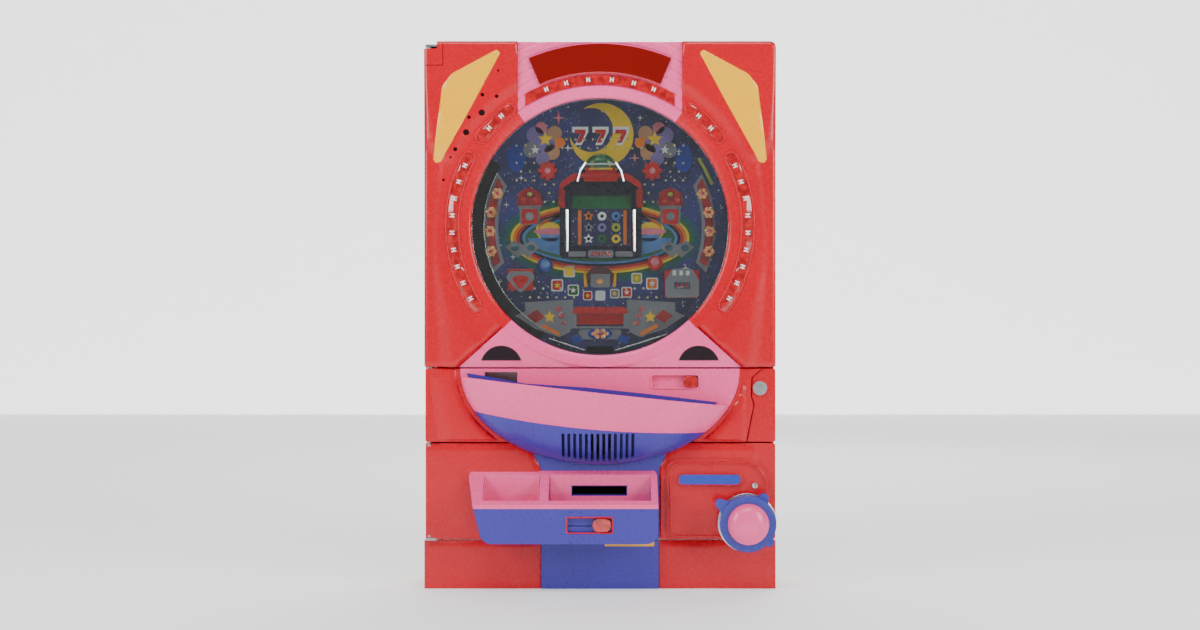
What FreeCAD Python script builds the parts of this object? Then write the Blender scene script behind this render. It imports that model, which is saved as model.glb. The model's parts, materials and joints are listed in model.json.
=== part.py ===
import FreeCAD
import Part
import math
import os

# Pachinko machine: a wooden outer frame that stands on its base, a swinging main frame that
# carries the playfield, and a glass door and a tray door that open on the same hinge line.
# Millimetres. +Z is up, the player stands at -Y, +X is the player's right. The origin is the
# middle of the outer frame's base.

V = FreeCAD.Vector
UP = V(0, 0, 1)
BACKWARD = V(0, 1, 0)
RIGHT = V(1, 0, 0)

# ---- outer frame --------------------------------------------------------------------------
FRAME_W = 520.0
FRAME_H = 810.0
FRAME_D = 90.0
BOARD_T = 18.0
SKIRT_H = 72.0
SKIRT_PROUD = 33.0

HALF_W = FRAME_W / 2
FRAME_FRONT = -FRAME_D / 2
FRAME_BACK = FRAME_D / 2
SKIRT_FRONT = FRAME_FRONT - SKIRT_PROUD

# ---- clearances ---------------------------------------------------------------------------
SWING_GAP = 1.5        # between leaves that swing past each other
SEAM = 1.0             # half of the seam between two leaves
FIT = 0.3              # beside a piece dropped into a recess
RUN = 0.06             # radial clearance of a pin in its bore

# ---- layers from back to front ------------------------------------------------------------
FLANGE_T = 11.0
LEAF_T = 8.0
PANEL_PROUD = 21.0
LOWER_PROUD = 26.5
WALL = 3.0

MAIN_REAR = FRAME_FRONT - SWING_GAP
MAIN_FRONT = MAIN_REAR - FLANGE_T
LEAF_REAR = MAIN_FRONT - SWING_GAP
LEAF_FRONT = LEAF_REAR - LEAF_T
PANEL_FRONT = LEAF_FRONT - PANEL_PROUD
LOWER_FRONT = MAIN_FRONT - LOWER_PROUD

# ---- leaves seen from the front -----------------------------------------------------------
LEAF_LEFT = -HALF_W + 4
LEAF_RIGHT = HALF_W - 1
LEAF_TOP = FRAME_H - 2
TOP_TO_WINDOW = 274.5
WINDOW_R = 189.0
WINDOW_Z = FRAME_H - TOP_TO_WINDOW
GLASS_SEAM = WINDOW_Z - 208.5      # between glass door and tray door
TRAY_SEAM = 217.0                  # between tray door and lower panel

# ---- hinge line ---------------------------------------------------------------------------
HINGE_X = -HALF_W + 8
HINGE_Y = -78.0
PIN_R = 3.0
HINGE_LEAF_T = 3.0
LUG_R = 6.0
NOTCH_X = HINGE_X + 12


# ---- shape helpers ------------------------------------------------------------------------
def block(x0, x1, y0, y1, z0, z1):
    low = V(min(x0, x1), min(y0, y1), min(z0, z1))
    return Part.makeBox(abs(x1 - x0), abs(y1 - y0), abs(z1 - z0), low)


def rod_y(x, z, radius, back, front):
    return Part.makeCylinder(radius, back - front, V(x, front, z), BACKWARD)


def rod_z(x, y, radius, low, high):
    return Part.makeCylinder(radius, high - low, V(x, y, low), UP)


def rod_x(y, z, radius, left, right):
    return Part.makeCylinder(radius, right - left, V(left, y, z), RIGHT)


def outline(points):
    """Closed face in the XZ plane; a point (x, z, r) has its corner rounded to radius r."""
    corners = []
    for i, point in enumerate(points):
        here = V(point[0], 0, point[1])
        if len(point) == 2:
            corners.append((here, None, here))
            continue
        radius = point[2]
        before = V(points[i - 1][0], 0, points[i - 1][1]) - here
        following = points[(i + 1) % len(points)]
        after = V(following[0], 0, following[1]) - here
        half = before.getAngle(after) / 2
        before.normalize()
        after.normalize()
        reach = radius / math.tan(half)
        inward = (before + after).normalize()
        middle = here + inward * (radius / math.sin(half) - radius)
        corners.append((here + before * reach, middle, here + after * reach))
    edges = []
    for i, (start, middle, end) in enumerate(corners):
        if middle is not None:
            edges.append(Part.Arc(start, middle, end).toShape())
        following = corners[(i + 1) % len(corners)][0]
        if end.distanceToPoint(following) > 1e-6:
            edges.append(Part.LineSegment(end, following).toShape())
    return Part.Face(Part.Wire(edges))


def raise_face(face, back, front):
    moved = face.copy()
    moved.translate(V(0, back, 0))
    return moved.extrude(V(0, front - back, 0))


def slab(points, back, front):
    return raise_face(outline(points), back, front)


def shell_panel(face, back, front, wall):
    """A moulded panel, open at the back, with its front and its rim one wall thick."""
    hollow = raise_face(face.makeOffset2D(-wall), back, front + wall)
    return raise_face(face, back, front).cut(hollow)


def mirrored(shape):
    return shape.mirror(V(0, 0, 0), RIGHT)


def clock(radius, angle):
    """Point at an angle clockwise from the top of the window."""
    turn = math.radians(angle)
    return V(radius * math.sin(turn), 0, WINDOW_Z + radius * math.cos(turn))


def ring_piece(inner, outer, start, end, back, front, round_ends=False):
    """Part of a ring about the window's centre, between two clock angles."""
    middle = (start + end) / 2
    mean = (inner + outer) / 2
    reach = math.degrees((outer - inner) / 2 / mean)
    edges = [Part.Arc(clock(outer, start), clock(outer, middle), clock(outer, end)).toShape(),
             Part.Arc(clock(inner, end), clock(inner, middle), clock(inner, start)).toShape()]
    if round_ends:
        edges.append(Part.Arc(clock(outer, end), clock(mean, end + reach), clock(inner, end)).toShape())
        edges.append(Part.Arc(clock(inner, start), clock(mean, start - reach),
                              clock(outer, start)).toShape())
    else:
        edges.append(Part.LineSegment(clock(outer, end), clock(inner, end)).toShape())
        edges.append(Part.LineSegment(clock(inner, start), clock(outer, start)).toShape())
    return raise_face(Part.Face(Part.Wire(Part.sortEdges(edges)[0])), back, front)


def window_disc(radius, back, front):
    return rod_y(0, WINDOW_Z, radius, back, front)


def window_face(points, radius):
    """An outline with the disc about the window's centre taken out of it."""
    disc = Part.Face(Part.Wire(Part.makeCircle(radius, V(0, 0, WINDOW_Z), BACKWARD)))
    return outline(points).cut(disc).Faces[0]


def ellipsoid(centre, half_x, half_y, half_z):
    stretch = FreeCAD.Matrix()
    stretch.scale(half_x, half_y, half_z)
    shape = Part.makeSphere(1).transformGeometry(stretch)
    shape.translate(centre)
    return shape


def save(name, *solids):
    shape = solids[0] if len(solids) == 1 else Part.makeCompound(list(solids))
    shape.exportStep("parts/" + name + ".step")


os.makedirs("parts", exist_ok=True)

# ---- outer frame: boards, skirt and fittings ----------------------------------------------
SIDE_INNER = HALF_W - BOARD_T
right_board = block(SIDE_INNER, HALF_W, FRAME_FRONT, FRAME_BACK, BOARD_T, FRAME_H - BOARD_T)
save("frame_side_boards", mirrored(right_board), right_board)
save("frame_cross_boards",
     block(-HALF_W, HALF_W, FRAME_FRONT, FRAME_BACK, 0, BOARD_T),
     block(-HALF_W, HALF_W, FRAME_FRONT, FRAME_BACK, FRAME_H - BOARD_T, FRAME_H))

NECK_HALF = 87.0            # half width of the centre strip on skirt and lower panel
SKIRT_RECESS = 18.0
CENTRE_PROUD = 2.0
recess_back = SKIRT_FRONT + SKIRT_RECESS
skirt = block(-HALF_W, HALF_W, FRAME_FRONT, SKIRT_FRONT, 0, SKIRT_H)
skirt = skirt.cut(block(-NECK_HALF - FIT, NECK_HALF + FIT, recess_back, SKIRT_FRONT, 0, SKIRT_H))
skirt_pocket = block(NECK_HALF + 2 * WALL, HALF_W - WALL, FRAME_FRONT, SKIRT_FRONT + WALL,
                     WALL, SKIRT_H - WALL)
skirt = skirt.cut(skirt_pocket).cut(mirrored(skirt_pocket))
save("skirt_cover", skirt)
centre_front = SKIRT_FRONT - CENTRE_PROUD
save("skirt_centre_panel",
     block(-NECK_HALF, NECK_HALF, recess_back, centre_front, 0, SKIRT_H))

LABEL_T = 0.6
save("skirt_label", slab([(7, 63, 1), (80, 63, 1), (80, 70, 1), (7, 70, 1)],
                         centre_front, centre_front - LABEL_T))

TAB_T = 3.5
TAB_W = 16.5
tab_left = -HALF_W + 2
tab_front = HINGE_Y - LUG_R
ROOT_TOP_TAB = FRAME_H - 9
MAIN_TOP_LEAF = FRAME_H - 14
top_tab = block(tab_left, tab_left + TAB_W, FRAME_FRONT, tab_front, ROOT_TOP_TAB, ROOT_TOP_TAB + TAB_T)
top_foot = block(tab_left, tab_left + TAB_W, FRAME_FRONT, FRAME_FRONT - WALL, ROOT_TOP_TAB, FRAME_H - 1)
top_pin = rod_z(HINGE_X, HINGE_Y, PIN_R, MAIN_TOP_LEAF - 2, ROOT_TOP_TAB + TAB_T)
low_tab = block(tab_left, tab_left + TAB_W, FRAME_FRONT, tab_front, SKIRT_H, SKIRT_H + TAB_T)
MAIN_LOW_LEAF = SKIRT_H + TAB_T + SWING_GAP
low_pin = rod_z(HINGE_X, HINGE_Y, PIN_R, SKIRT_H, MAIN_LOW_LEAF + HINGE_LEAF_T + 5)
CORNER_PLATE_T = 2.0
CORNER_PLATE_LEG = 40.0
CORNER_PLATE_W = 20.0
corner_plates = []
for low, high in ((BOARD_T, BOARD_T + CORNER_PLATE_LEG),
                  (FRAME_H - BOARD_T - CORNER_PLATE_LEG, FRAME_H - BOARD_T)):
    upright = block(SIDE_INNER - CORNER_PLATE_T, SIDE_INNER, -CORNER_PLATE_W / 2, CORNER_PLATE_W / 2,
                    low, high)
    level = BOARD_T if low == BOARD_T else FRAME_H - BOARD_T - CORNER_PLATE_T
    flat = block(SIDE_INNER - CORNER_PLATE_LEG, SIDE_INNER, -CORNER_PLATE_W / 2, CORNER_PLATE_W / 2,
                 level, level + CORNER_PLATE_T)
    plate = upright.fuse(flat).removeSplitter()
    corner_plates += [plate, mirrored(plate)]
STRIKE_T = 2.5
STRIKE_Z = (180.0, FRAME_H - 110)
strikes = [block(SIDE_INNER - STRIKE_T, SIDE_INNER, FRAME_FRONT + 3, -10, z - 15, z + 15)
           for z in STRIKE_Z]
save("frame_fittings", top_tab.fuse(top_foot).fuse(top_pin).removeSplitter(),
     low_tab.fuse(low_pin).removeSplitter(), *corner_plates, *strikes)

# ---- main frame ---------------------------------------------------------------------------
MAIN_BOTTOM = SKIRT_H + 2 * SEAM
BASKET_GAP = 6.0           # between the basket and the frame's boards
LOCK_BAY = 12.0            # extra room beside the basket for the lock bar
BASKET_LEFT = -SIDE_INNER + BASKET_GAP
BASKET_RIGHT = SIDE_INNER - BASKET_GAP - LOCK_BAY
BASKET_TOP = FRAME_H - BOARD_T - BASKET_GAP
BASKET_BOTTOM = 92.0
BASKET_BACK = 30.0
BASKET_WALL = 4.0
FIELD_HOLE_R = 204.0
LAUNCH_LEFT = -185.0
LAUNCH_RIGHT = 85.0
LAUNCH_LOW = GLASS_SEAM - 37
PAYOUT_SLOT_X = (-41.0, 39.0)     # balls reach the lower tray through this slot
PAYOUT_SLOT_Z = (140.0, 153.0)
LOCK_X = SIDE_INNER - BASKET_GAP
LOCK_Z = GLASS_SEAM - 30
CASE_R = 9.0

flange = block(LEAF_LEFT, LEAF_RIGHT, MAIN_REAR, MAIN_FRONT, MAIN_BOTTOM, LEAF_TOP)
for cutter in (window_disc(FIELD_HOLE_R, MAIN_REAR, MAIN_FRONT),
               block(LAUNCH_LEFT, LAUNCH_RIGHT, MAIN_REAR, MAIN_FRONT, LAUNCH_LOW, GLASS_SEAM + 73),
               block(LEAF_LEFT, NOTCH_X + 2, MAIN_REAR, MAIN_FRONT, MAIN_TOP_LEAF, LEAF_TOP),
               block(LEAF_LEFT, NOTCH_X + 2, MAIN_REAR, MAIN_FRONT, MAIN_BOTTOM,
                     MAIN_LOW_LEAF + HINGE_LEAF_T),
               rod_y(LOCK_X, LOCK_Z, CASE_R - 1, MAIN_REAR, MAIN_FRONT),
               block(*PAYOUT_SLOT_X, MAIN_REAR, MAIN_FRONT, *PAYOUT_SLOT_Z)):
    flange = flange.cut(cutter)
basket = block(BASKET_LEFT, BASKET_RIGHT, BASKET_BACK, MAIN_REAR, BASKET_BOTTOM, BASKET_TOP)
basket = basket.cut(block(BASKET_LEFT + BASKET_WALL, BASKET_RIGHT - BASKET_WALL, BASKET_BACK,
                          MAIN_REAR, BASKET_BOTTOM + BASKET_WALL, BASKET_TOP - BASKET_WALL))
save("main_frame_moulding", flange.fuse(basket).removeSplitter())


def hinge_leaf(low, back, pins=(), bore=False):
    """Flat leaf with a round end about the hinge line, and pins or a bore on that line."""
    leaf = block(HINGE_X - LUG_R, NOTCH_X - 2, back, HINGE_Y, low, low + HINGE_LEAF_T)
    leaf = leaf.fuse(rod_z(HINGE_X, HINGE_Y, LUG_R, low, low + HINGE_LEAF_T))
    if bore:
        leaf = leaf.cut(rod_z(HINGE_X, HINGE_Y, PIN_R + RUN, low, low + HINGE_LEAF_T))
    for pin_low, pin_high in pins:
        leaf = leaf.fuse(rod_z(HINGE_X, HINGE_Y, PIN_R, pin_low, pin_high))
    return leaf.removeSplitter()


DOOR_LEAF = MAIN_TOP_LEAF - 10
MID_LEAF = GLASS_SEAM - HINGE_LEAF_T / 2
LOW_LEAF = TRAY_SEAM - 6
PIN_REACH = 11.0
save("main_hinge_leaves",
     hinge_leaf(MAIN_TOP_LEAF, MAIN_REAR, bore=True),
     hinge_leaf(MAIN_LOW_LEAF, MAIN_REAR, bore=True),
     hinge_leaf(DOOR_LEAF, MAIN_FRONT, [(DOOR_LEAF - PIN_REACH, DOOR_LEAF)]),
     hinge_leaf(MID_LEAF, MAIN_FRONT, [(MID_LEAF - PIN_REACH, MID_LEAF + HINGE_LEAF_T + PIN_REACH)]),
     hinge_leaf(LOW_LEAF, MAIN_FRONT, [(LOW_LEAF, LOW_LEAF + HINGE_LEAF_T + PIN_REACH)]))

# ---- lower panel, centre strip and lock panel ---------------------------------------------
LOWER_TOP = TRAY_SEAM - SEAM
NECK_FLARE_HALF = 100.0
NECK_TOP_HALF = 119.0
NECK_SHOULDER = 178.0
NECK_FLARE = 203.0
neck_points = [(-NECK_HALF, MAIN_BOTTOM), (NECK_HALF, MAIN_BOTTOM), (NECK_HALF, NECK_SHOULDER, 14),
               (NECK_FLARE_HALF, NECK_FLARE, 10), (NECK_TOP_HALF, LOWER_TOP),
               (-NECK_TOP_HALF, LOWER_TOP), (-NECK_FLARE_HALF, NECK_FLARE, 10),
               (-NECK_HALF, NECK_SHOULDER, 14)]
neck_face = outline(neck_points)
neck = shell_panel(neck_face, MAIN_FRONT, LOWER_FRONT, WALL)
save("neck_panel", neck.cut(block(*PAYOUT_SLOT_X, MAIN_FRONT, LOWER_FRONT, *PAYOUT_SLOT_Z)))
right_half = outline([(NECK_HALF + FIT, MAIN_BOTTOM), (LEAF_RIGHT, MAIN_BOTTOM, 4),
                      (LEAF_RIGHT, LOWER_TOP, 4), (NECK_TOP_HALF + FIT, LOWER_TOP),
                      (NECK_FLARE_HALF + FIT, NECK_FLARE, 10), (NECK_HALF + FIT, NECK_SHOULDER, 14)])
left_half = outline([(-NECK_HALF - FIT, MAIN_BOTTOM), (LEAF_LEFT, MAIN_BOTTOM, 4),
                     (LEAF_LEFT, LOWER_TOP, 4), (-NECK_TOP_HALF - FIT, LOWER_TOP),
                     (-NECK_FLARE_HALF - FIT, NECK_FLARE, 10), (-NECK_HALF - FIT, NECK_SHOULDER, 14)])
left_lower = shell_panel(left_half, MAIN_FRONT, LOWER_FRONT, WALL)
hinge_pocket_front = HINGE_Y - LUG_R - 1.5
for low, high in ((MAIN_BOTTOM, MAIN_LOW_LEAF + 12), (LOW_LEAF - 3, LOWER_TOP)):
    left_lower = left_lower.cut(block(LEAF_LEFT, NOTCH_X + 2, MAIN_FRONT, LOWER_FRONT, low, high))
save("lower_panel", left_lower, shell_panel(right_half, MAIN_FRONT, LOWER_FRONT, WALL))

lock_edge = [(LOCK_X + 4, GLASS_SEAM - SEAM), (LOCK_X - 11, GLASS_SEAM - 14, 3),
             (LOCK_X - 12, GLASS_SEAM - 43, 4), (LOCK_X - 8, GLASS_SEAM - 54, 3),
             (LOCK_X - 19, TRAY_SEAM + SEAM)]
lock_face = outline(lock_edge + [(LEAF_RIGHT, TRAY_SEAM + SEAM, 3), (LEAF_RIGHT, GLASS_SEAM - SEAM, 3)])
LOCK_FRONT = MAIN_FRONT - 27.5
lock_panel = raise_face(lock_face, MAIN_FRONT, LOCK_FRONT)
lock_panel = lock_panel.cut(rod_y(LOCK_X, LOCK_Z, CASE_R + 0.2, MAIN_FRONT, LOCK_FRONT))
save("lock_side_panel", lock_panel)

PLUG_R = 6.2
CASE_FLANGE_R = 10.4
case_tube = rod_y(LOCK_X, LOCK_Z, CASE_R, MAIN_FRONT, LOCK_FRONT)
case_rim = rod_y(LOCK_X, LOCK_Z, CASE_FLANGE_R, LOCK_FRONT, LOCK_FRONT - WALL)
case_bore = rod_y(LOCK_X, LOCK_Z, PLUG_R + RUN, MAIN_FRONT, LOCK_FRONT - WALL)
BAR_X0 = BASKET_RIGHT + 1.5
BAR_X1 = BAR_X0 + 10.5
BAR_FRONT = MAIN_REAR + 5
BAR_T = 4.5
BAR_LOW = 120.0
BAR_HIGH = FRAME_H - 50
GUIDE_H = 10.0
GUIDE_Z = (150.0, 420.0, FRAME_H - 80)
guides = []
for z in GUIDE_Z:
    guide = block(BAR_X0 - 1.2, BAR_X1 + 1, BAR_FRONT + BAR_T + 3, MAIN_REAR, z, z + GUIDE_H)
    guides.append(guide.cut(block(BAR_X0 - FIT, BAR_X1 + FIT, BAR_FRONT + BAR_T + FIT,
                                  BAR_FRONT - FIT, z, z + GUIDE_H)))
save("lock_case", case_tube.fuse(case_rim).cut(case_bore), *guides)

CRANK_R = 9.0
CRANK_PIN_R = 1.5
TAIL_R = 3.0
cam_back = BAR_FRONT - 0.5
plug = rod_y(LOCK_X, LOCK_Z, PLUG_R, MAIN_FRONT - 4, LOCK_FRONT - WALL - 1)
plug = plug.cut(block(LOCK_X - 0.8, LOCK_X + 0.8, LOCK_FRONT - 2, LOCK_FRONT - WALL - 1,
                      LOCK_Z - 4, LOCK_Z + 4))
plug = plug.fuse(rod_y(LOCK_X, LOCK_Z, TAIL_R, cam_back, MAIN_FRONT - 4))
cam = slab([(LOCK_X + 4, LOCK_Z - 4, 3), (LOCK_X + 4, LOCK_Z + 4, 3),
            (LOCK_X - CRANK_R - 2, LOCK_Z + 2.2, 2), (LOCK_X - CRANK_R - 2, LOCK_Z - 2.2, 2)],
           cam_back, MAIN_REAR + 1)
plug = plug.fuse(cam).fuse(rod_y(LOCK_X - CRANK_R, LOCK_Z, CRANK_PIN_R, BAR_FRONT + BAR_T, cam_back))
save("lock_plug", plug.removeSplitter())
bar = block(BAR_X0, BAR_X1, BAR_FRONT, BAR_FRONT + BAR_T, BAR_LOW, BAR_HIGH)
bar = bar.cut(block(BAR_X0, LOCK_X - CRANK_R + 4.5, BAR_FRONT, BAR_FRONT + BAR_T,
                    LOCK_Z - 2.4, LOCK_Z + 2.4))
save("lock_bar", bar)

# ---- lower tray ---------------------------------------------------------------------------
LTRAY_LEFT = -195.0
LTRAY_RIGHT = 84.0
LTRAY_LOW = 75.0
LTRAY_BACK_TOP = 176.0
LTRAY_FRONT_TOP = 131.0
LTRAY_PROUD = 66.0
LTRAY_SLANT = 25.0
RIM_T = 6.0
LTRAY_FRONT = LOWER_FRONT - LTRAY_PROUD


def below_slope(drop):
    """Everything under the tray's forward-sloping top, dropped by some millimetres."""
    profile = [V(-HALF_W, LOWER_FRONT + 1, 0), V(-HALF_W, LTRAY_FRONT - 1, 0),
               V(-HALF_W, LTRAY_FRONT - 1, LTRAY_FRONT_TOP - drop),
               V(-HALF_W, LOWER_FRONT + 1, LTRAY_BACK_TOP - drop)]
    return Part.Face(Part.makePolygon(profile + [profile[0]])).extrude(V(FRAME_W, 0, 0))


tray_block = slab([(LTRAY_LEFT + LTRAY_SLANT, LTRAY_LOW, 18), (LTRAY_RIGHT, LTRAY_LOW, 18),
                   (LTRAY_RIGHT, LTRAY_BACK_TOP, 8), (LTRAY_LEFT, LTRAY_BACK_TOP, 8)],
                  LOWER_FRONT, LTRAY_FRONT)
TROUGH_X = (-75.0, 74.0)
ASH_X = (-170.0, -88.0)
POCKET_Y = (LOWER_FRONT - 8, LTRAY_FRONT + 8)
TROUGH_FLOOR = 100.0
ASH_FLOOR = 110.0
RELEASE_X = (-47.0, 17.0)
RELEASE_Z = (92.0, 112.5)
RELEASE_DEEP = 7.0
trough = block(*TROUGH_X, *POCKET_Y, TROUGH_FLOOR, LTRAY_BACK_TOP)
ash_pocket = block(*ASH_X, *POCKET_Y, ASH_FLOOR, LTRAY_BACK_TOP)
outlet = block(*PAYOUT_SLOT_X, LOWER_FRONT, LOWER_FRONT - 8, *PAYOUT_SLOT_Z)
under = block(LTRAY_LEFT + LTRAY_SLANT + 8, LTRAY_RIGHT - 8, LOWER_FRONT, LTRAY_FRONT + RELEASE_DEEP + 4,
              LTRAY_LOW + WALL, TROUGH_FLOOR - WALL)
release_recess = block(*RELEASE_X, LTRAY_FRONT + RELEASE_DEEP, LTRAY_FRONT, *RELEASE_Z)
tray_body = tray_block.common(below_slope(RIM_T)).cut(trough).cut(ash_pocket).cut(outlet)
save("lower_tray_body", tray_body.cut(under).cut(release_recess))
tray_rim = tray_block.common(below_slope(0)).cut(below_slope(RIM_T)).cut(trough).cut(ash_pocket)
save("lower_tray_rim", tray_rim)
CUP_WALL = 1.6
cup = block(ASH_X[0] + FIT, ASH_X[1] - FIT, POCKET_Y[0] - FIT, POCKET_Y[1] + FIT,
            ASH_FLOOR + FIT, LTRAY_BACK_TOP).common(below_slope(1))
cup = cup.cut(block(ASH_X[0] + FIT + CUP_WALL, ASH_X[1] - FIT - CUP_WALL, POCKET_Y[0] - FIT - CUP_WALL,
                    POCKET_Y[1] + FIT + CUP_WALL, ASH_FLOOR + FIT + CUP_WALL, LTRAY_BACK_TOP))
save("ashtray_cup", cup)
KNOB_W = 27.0
save("lower_release_button",
     slab([(RELEASE_X[1] - KNOB_W - 1, RELEASE_Z[0] + 0.5, 9), (RELEASE_X[1] - 1, RELEASE_Z[0] + 0.5, 9),
           (RELEASE_X[1] - 1, RELEASE_Z[1] - 0.5, 9), (RELEASE_X[1] - KNOB_W - 1, RELEASE_Z[1] - 0.5, 9)],
          LTRAY_FRONT + RELEASE_DEEP - FIT, LTRAY_FRONT - 3))

# ---- launch handle ------------------------------------------------------------------------
HANDLE_X = 215.0
HANDLE_Z = 101.5
PLATE_T = 8.0
plate_front = LOWER_FRONT - PLATE_T
save("handle_plate",
     slab([(98, LTRAY_LOW, 21), (250, LTRAY_LOW, 21), (250, 193, 45), (98, 193, 21)],
          LOWER_FRONT, plate_front),
     slab([(115, 155, 7.5), (207.5, 155, 7.5), (207.5, 171, 7.5), (115, 171, 7.5)],
          plate_front, plate_front - 2))
base_front = plate_front - 20
SPINDLE_R = 8.0
DIAL_T = 17.0
DIAL_R = 41.0
dial_front = base_front - FIT - DIAL_T
cap_back = dial_front - FIT
handle_base = rod_y(HANDLE_X, HANDLE_Z, 33, plate_front, base_front)
handle_base = handle_base.fuse(rod_y(HANDLE_X, HANDLE_Z, 43, base_front + 6, base_front))
handle_base = handle_base.fuse(rod_y(HANDLE_X, HANDLE_Z, SPINDLE_R, base_front, cap_back))
save("handle_base", handle_base.removeSplitter())
CAP_R = 30.0
CAP_DOME = 16.0
cap = rod_y(HANDLE_X, HANDLE_Z, CAP_R, cap_back, cap_back - 4)
squash = FreeCAD.Matrix()
squash.scale(CAP_R, CAP_DOME, CAP_R)
dome = Part.makeSphere(1, V(0, 0, 0), V(0, -1, 0), 0, 90, 360).transformGeometry(squash)
dome.translate(V(HANDLE_X, cap_back - 4, HANDLE_Z))
save("handle_cap", cap.fuse(dome).removeSplitter())
dial = rod_y(HANDLE_X, HANDLE_Z, DIAL_R, base_front - FIT, dial_front)
LUGS = ((144, 56), (58, 50), (-40, 47))
for angle, reach in LUGS:
    turn = math.radians(angle)
    tip = V(math.cos(turn), 0, math.sin(turn)) * (reach - 6)
    side = V(-math.sin(turn), 0, math.cos(turn))
    root = V(math.cos(turn), 0, math.sin(turn)) * (DIAL_R - 8)
    corners = [root - side * 14, tip - side * 7, tip + side * 7, root + side * 14]
    points = [(HANDLE_X + c.x, HANDLE_Z + c.z) for c in corners]
    dial = dial.fuse(slab(points, base_front - FIT - 3, dial_front + 3))
    dial = dial.fuse(rod_y(HANDLE_X + tip.x, HANDLE_Z + tip.z, 7, base_front - FIT - 3, dial_front + 3))
dial = dial.cut(rod_y(HANDLE_X, HANDLE_Z, SPINDLE_R + RUN, base_front, dial_front))
save("handle_dial", dial.removeSplitter())

# ---- glass door ---------------------------------------------------------------------------
GLASS_LOW = GLASS_SEAM + SEAM
DOOR_HOLE_R = 196.0
PANE_R = 202.5
PANE_T = 3.0
SPACER_T = 9.0
PANEL_HOLE_R = WINDOW_R + 1
PANE_SEAT_R = PANE_R + 1
LUG_T = 4.0
LUG_GAP = 3.0


def door_lug(low):
    """Bored lug that turns on a hinge pin and is carried by the front of a leaf."""
    lug = block(HINGE_X - LUG_R, HINGE_X + 20, LEAF_FRONT, HINGE_Y, low, low + LUG_T)
    lug = lug.fuse(rod_z(HINGE_X, HINGE_Y, LUG_R, low, low + LUG_T))
    return lug.cut(rod_z(HINGE_X, HINGE_Y, PIN_R + RUN, low, low + LUG_T)).removeSplitter()


top_lug_z = DOOR_LEAF - LUG_GAP - LUG_T
glass_lug_z = MID_LEAF + HINGE_LEAF_T + LUG_GAP
door_plate = block(LEAF_LEFT, LEAF_RIGHT, LEAF_REAR, LEAF_FRONT, GLASS_LOW, LEAF_TOP)
door_plate = door_plate.cut(window_disc(DOOR_HOLE_R, LEAF_REAR, LEAF_FRONT))
for low, high in ((DOOR_LEAF - 2, LEAF_TOP), (GLASS_LOW, MID_LEAF + HINGE_LEAF_T + 2)):
    door_plate = door_plate.cut(block(LEAF_LEFT, NOTCH_X, LEAF_REAR, LEAF_FRONT, low, high))
save("glass_door_frame", door_plate, door_lug(top_lug_z), door_lug(glass_lug_z))

pane_front = LEAF_FRONT - PANE_T
spacer_front = pane_front - SPACER_T
outer_pane_front = spacer_front - PANE_T
save("glass_panes", window_disc(PANE_R, LEAF_FRONT, pane_front),
     window_disc(PANE_R, spacer_front, outer_pane_front))
spacer = window_disc(PANE_R, pane_front, spacer_front).cut(
    window_disc(WINDOW_R + 2, pane_front, spacer_front))
save("window_spacer", spacer)

APRON_TOP_X = 143.0
APRON_TOP_Z = GLASS_SEAM + 62
APRON_FOOT_X = 208.0
BAND_HALF = 121.0
CHEEK_GAP = 0.4
right_cheek = [(APRON_FOOT_X + CHEEK_GAP, GLASS_LOW), (LEAF_RIGHT, GLASS_LOW, 4),
               (LEAF_RIGHT, LEAF_TOP, 10), (BAND_HALF + CHEEK_GAP, LEAF_TOP),
               (BAND_HALF + CHEEK_GAP, WINDOW_Z), (APRON_TOP_X + CHEEK_GAP, WINDOW_Z),
               (APRON_TOP_X + CHEEK_GAP, APRON_TOP_Z, 12)]
left_cheek = [(-APRON_FOOT_X - CHEEK_GAP, GLASS_LOW), (LEAF_LEFT, GLASS_LOW, 4),
              (LEAF_LEFT, LEAF_TOP, 3), (-BAND_HALF - CHEEK_GAP, LEAF_TOP),
              (-BAND_HALF - CHEEK_GAP, WINDOW_Z), (-APRON_TOP_X - CHEEK_GAP, WINDOW_Z),
              (-APRON_TOP_X - CHEEK_GAP, APRON_TOP_Z, 12)]


def window_panel(points):
    """Panel beside the window whose inner edge laps over the front pane."""
    panel = shell_panel(window_face(points, PANEL_HOLE_R), LEAF_FRONT, PANEL_FRONT, WALL)
    return panel.cut(window_disc(PANE_SEAT_R, LEAF_FRONT, outer_pane_front))


left_panel = window_panel(left_cheek)
POCKET_X = HINGE_X + 21
for low, high in ((top_lug_z - 6, LEAF_TOP), (GLASS_LOW, glass_lug_z + LUG_T + 8)):
    left_panel = left_panel.cut(block(LEAF_LEFT, POCKET_X, LEAF_FRONT, hinge_pocket_front, low, high))
left_panel = left_panel.cut(block(LEAF_LEFT, NOTCH_X, LEAF_FRONT, PANEL_FRONT,
                                  MAIN_TOP_LEAF + 1, LEAF_TOP))
save("side_panel_left", left_panel)
save("side_panel_right", window_panel(right_cheek))
save("top_band", window_panel([(-BAND_HALF, WINDOW_Z), (BAND_HALF, WINDOW_Z), (BAND_HALF, LEAF_TOP),
                               (-BAND_HALF, LEAF_TOP)]))
apron = window_face([(-APRON_FOOT_X, GLASS_LOW), (APRON_FOOT_X, GLASS_LOW),
                     (APRON_TOP_X, APRON_TOP_Z, 12), (APRON_TOP_X, WINDOW_Z),
                     (-APRON_TOP_X, WINDOW_Z), (-APRON_TOP_X, APRON_TOP_Z, 12)], PANEL_HOLE_R)
apron_solid = raise_face(apron, LEAF_FRONT, PANEL_FRONT)
save("door_apron", apron_solid.cut(window_disc(PANE_SEAT_R, LEAF_FRONT, outer_pane_front)))

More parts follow.
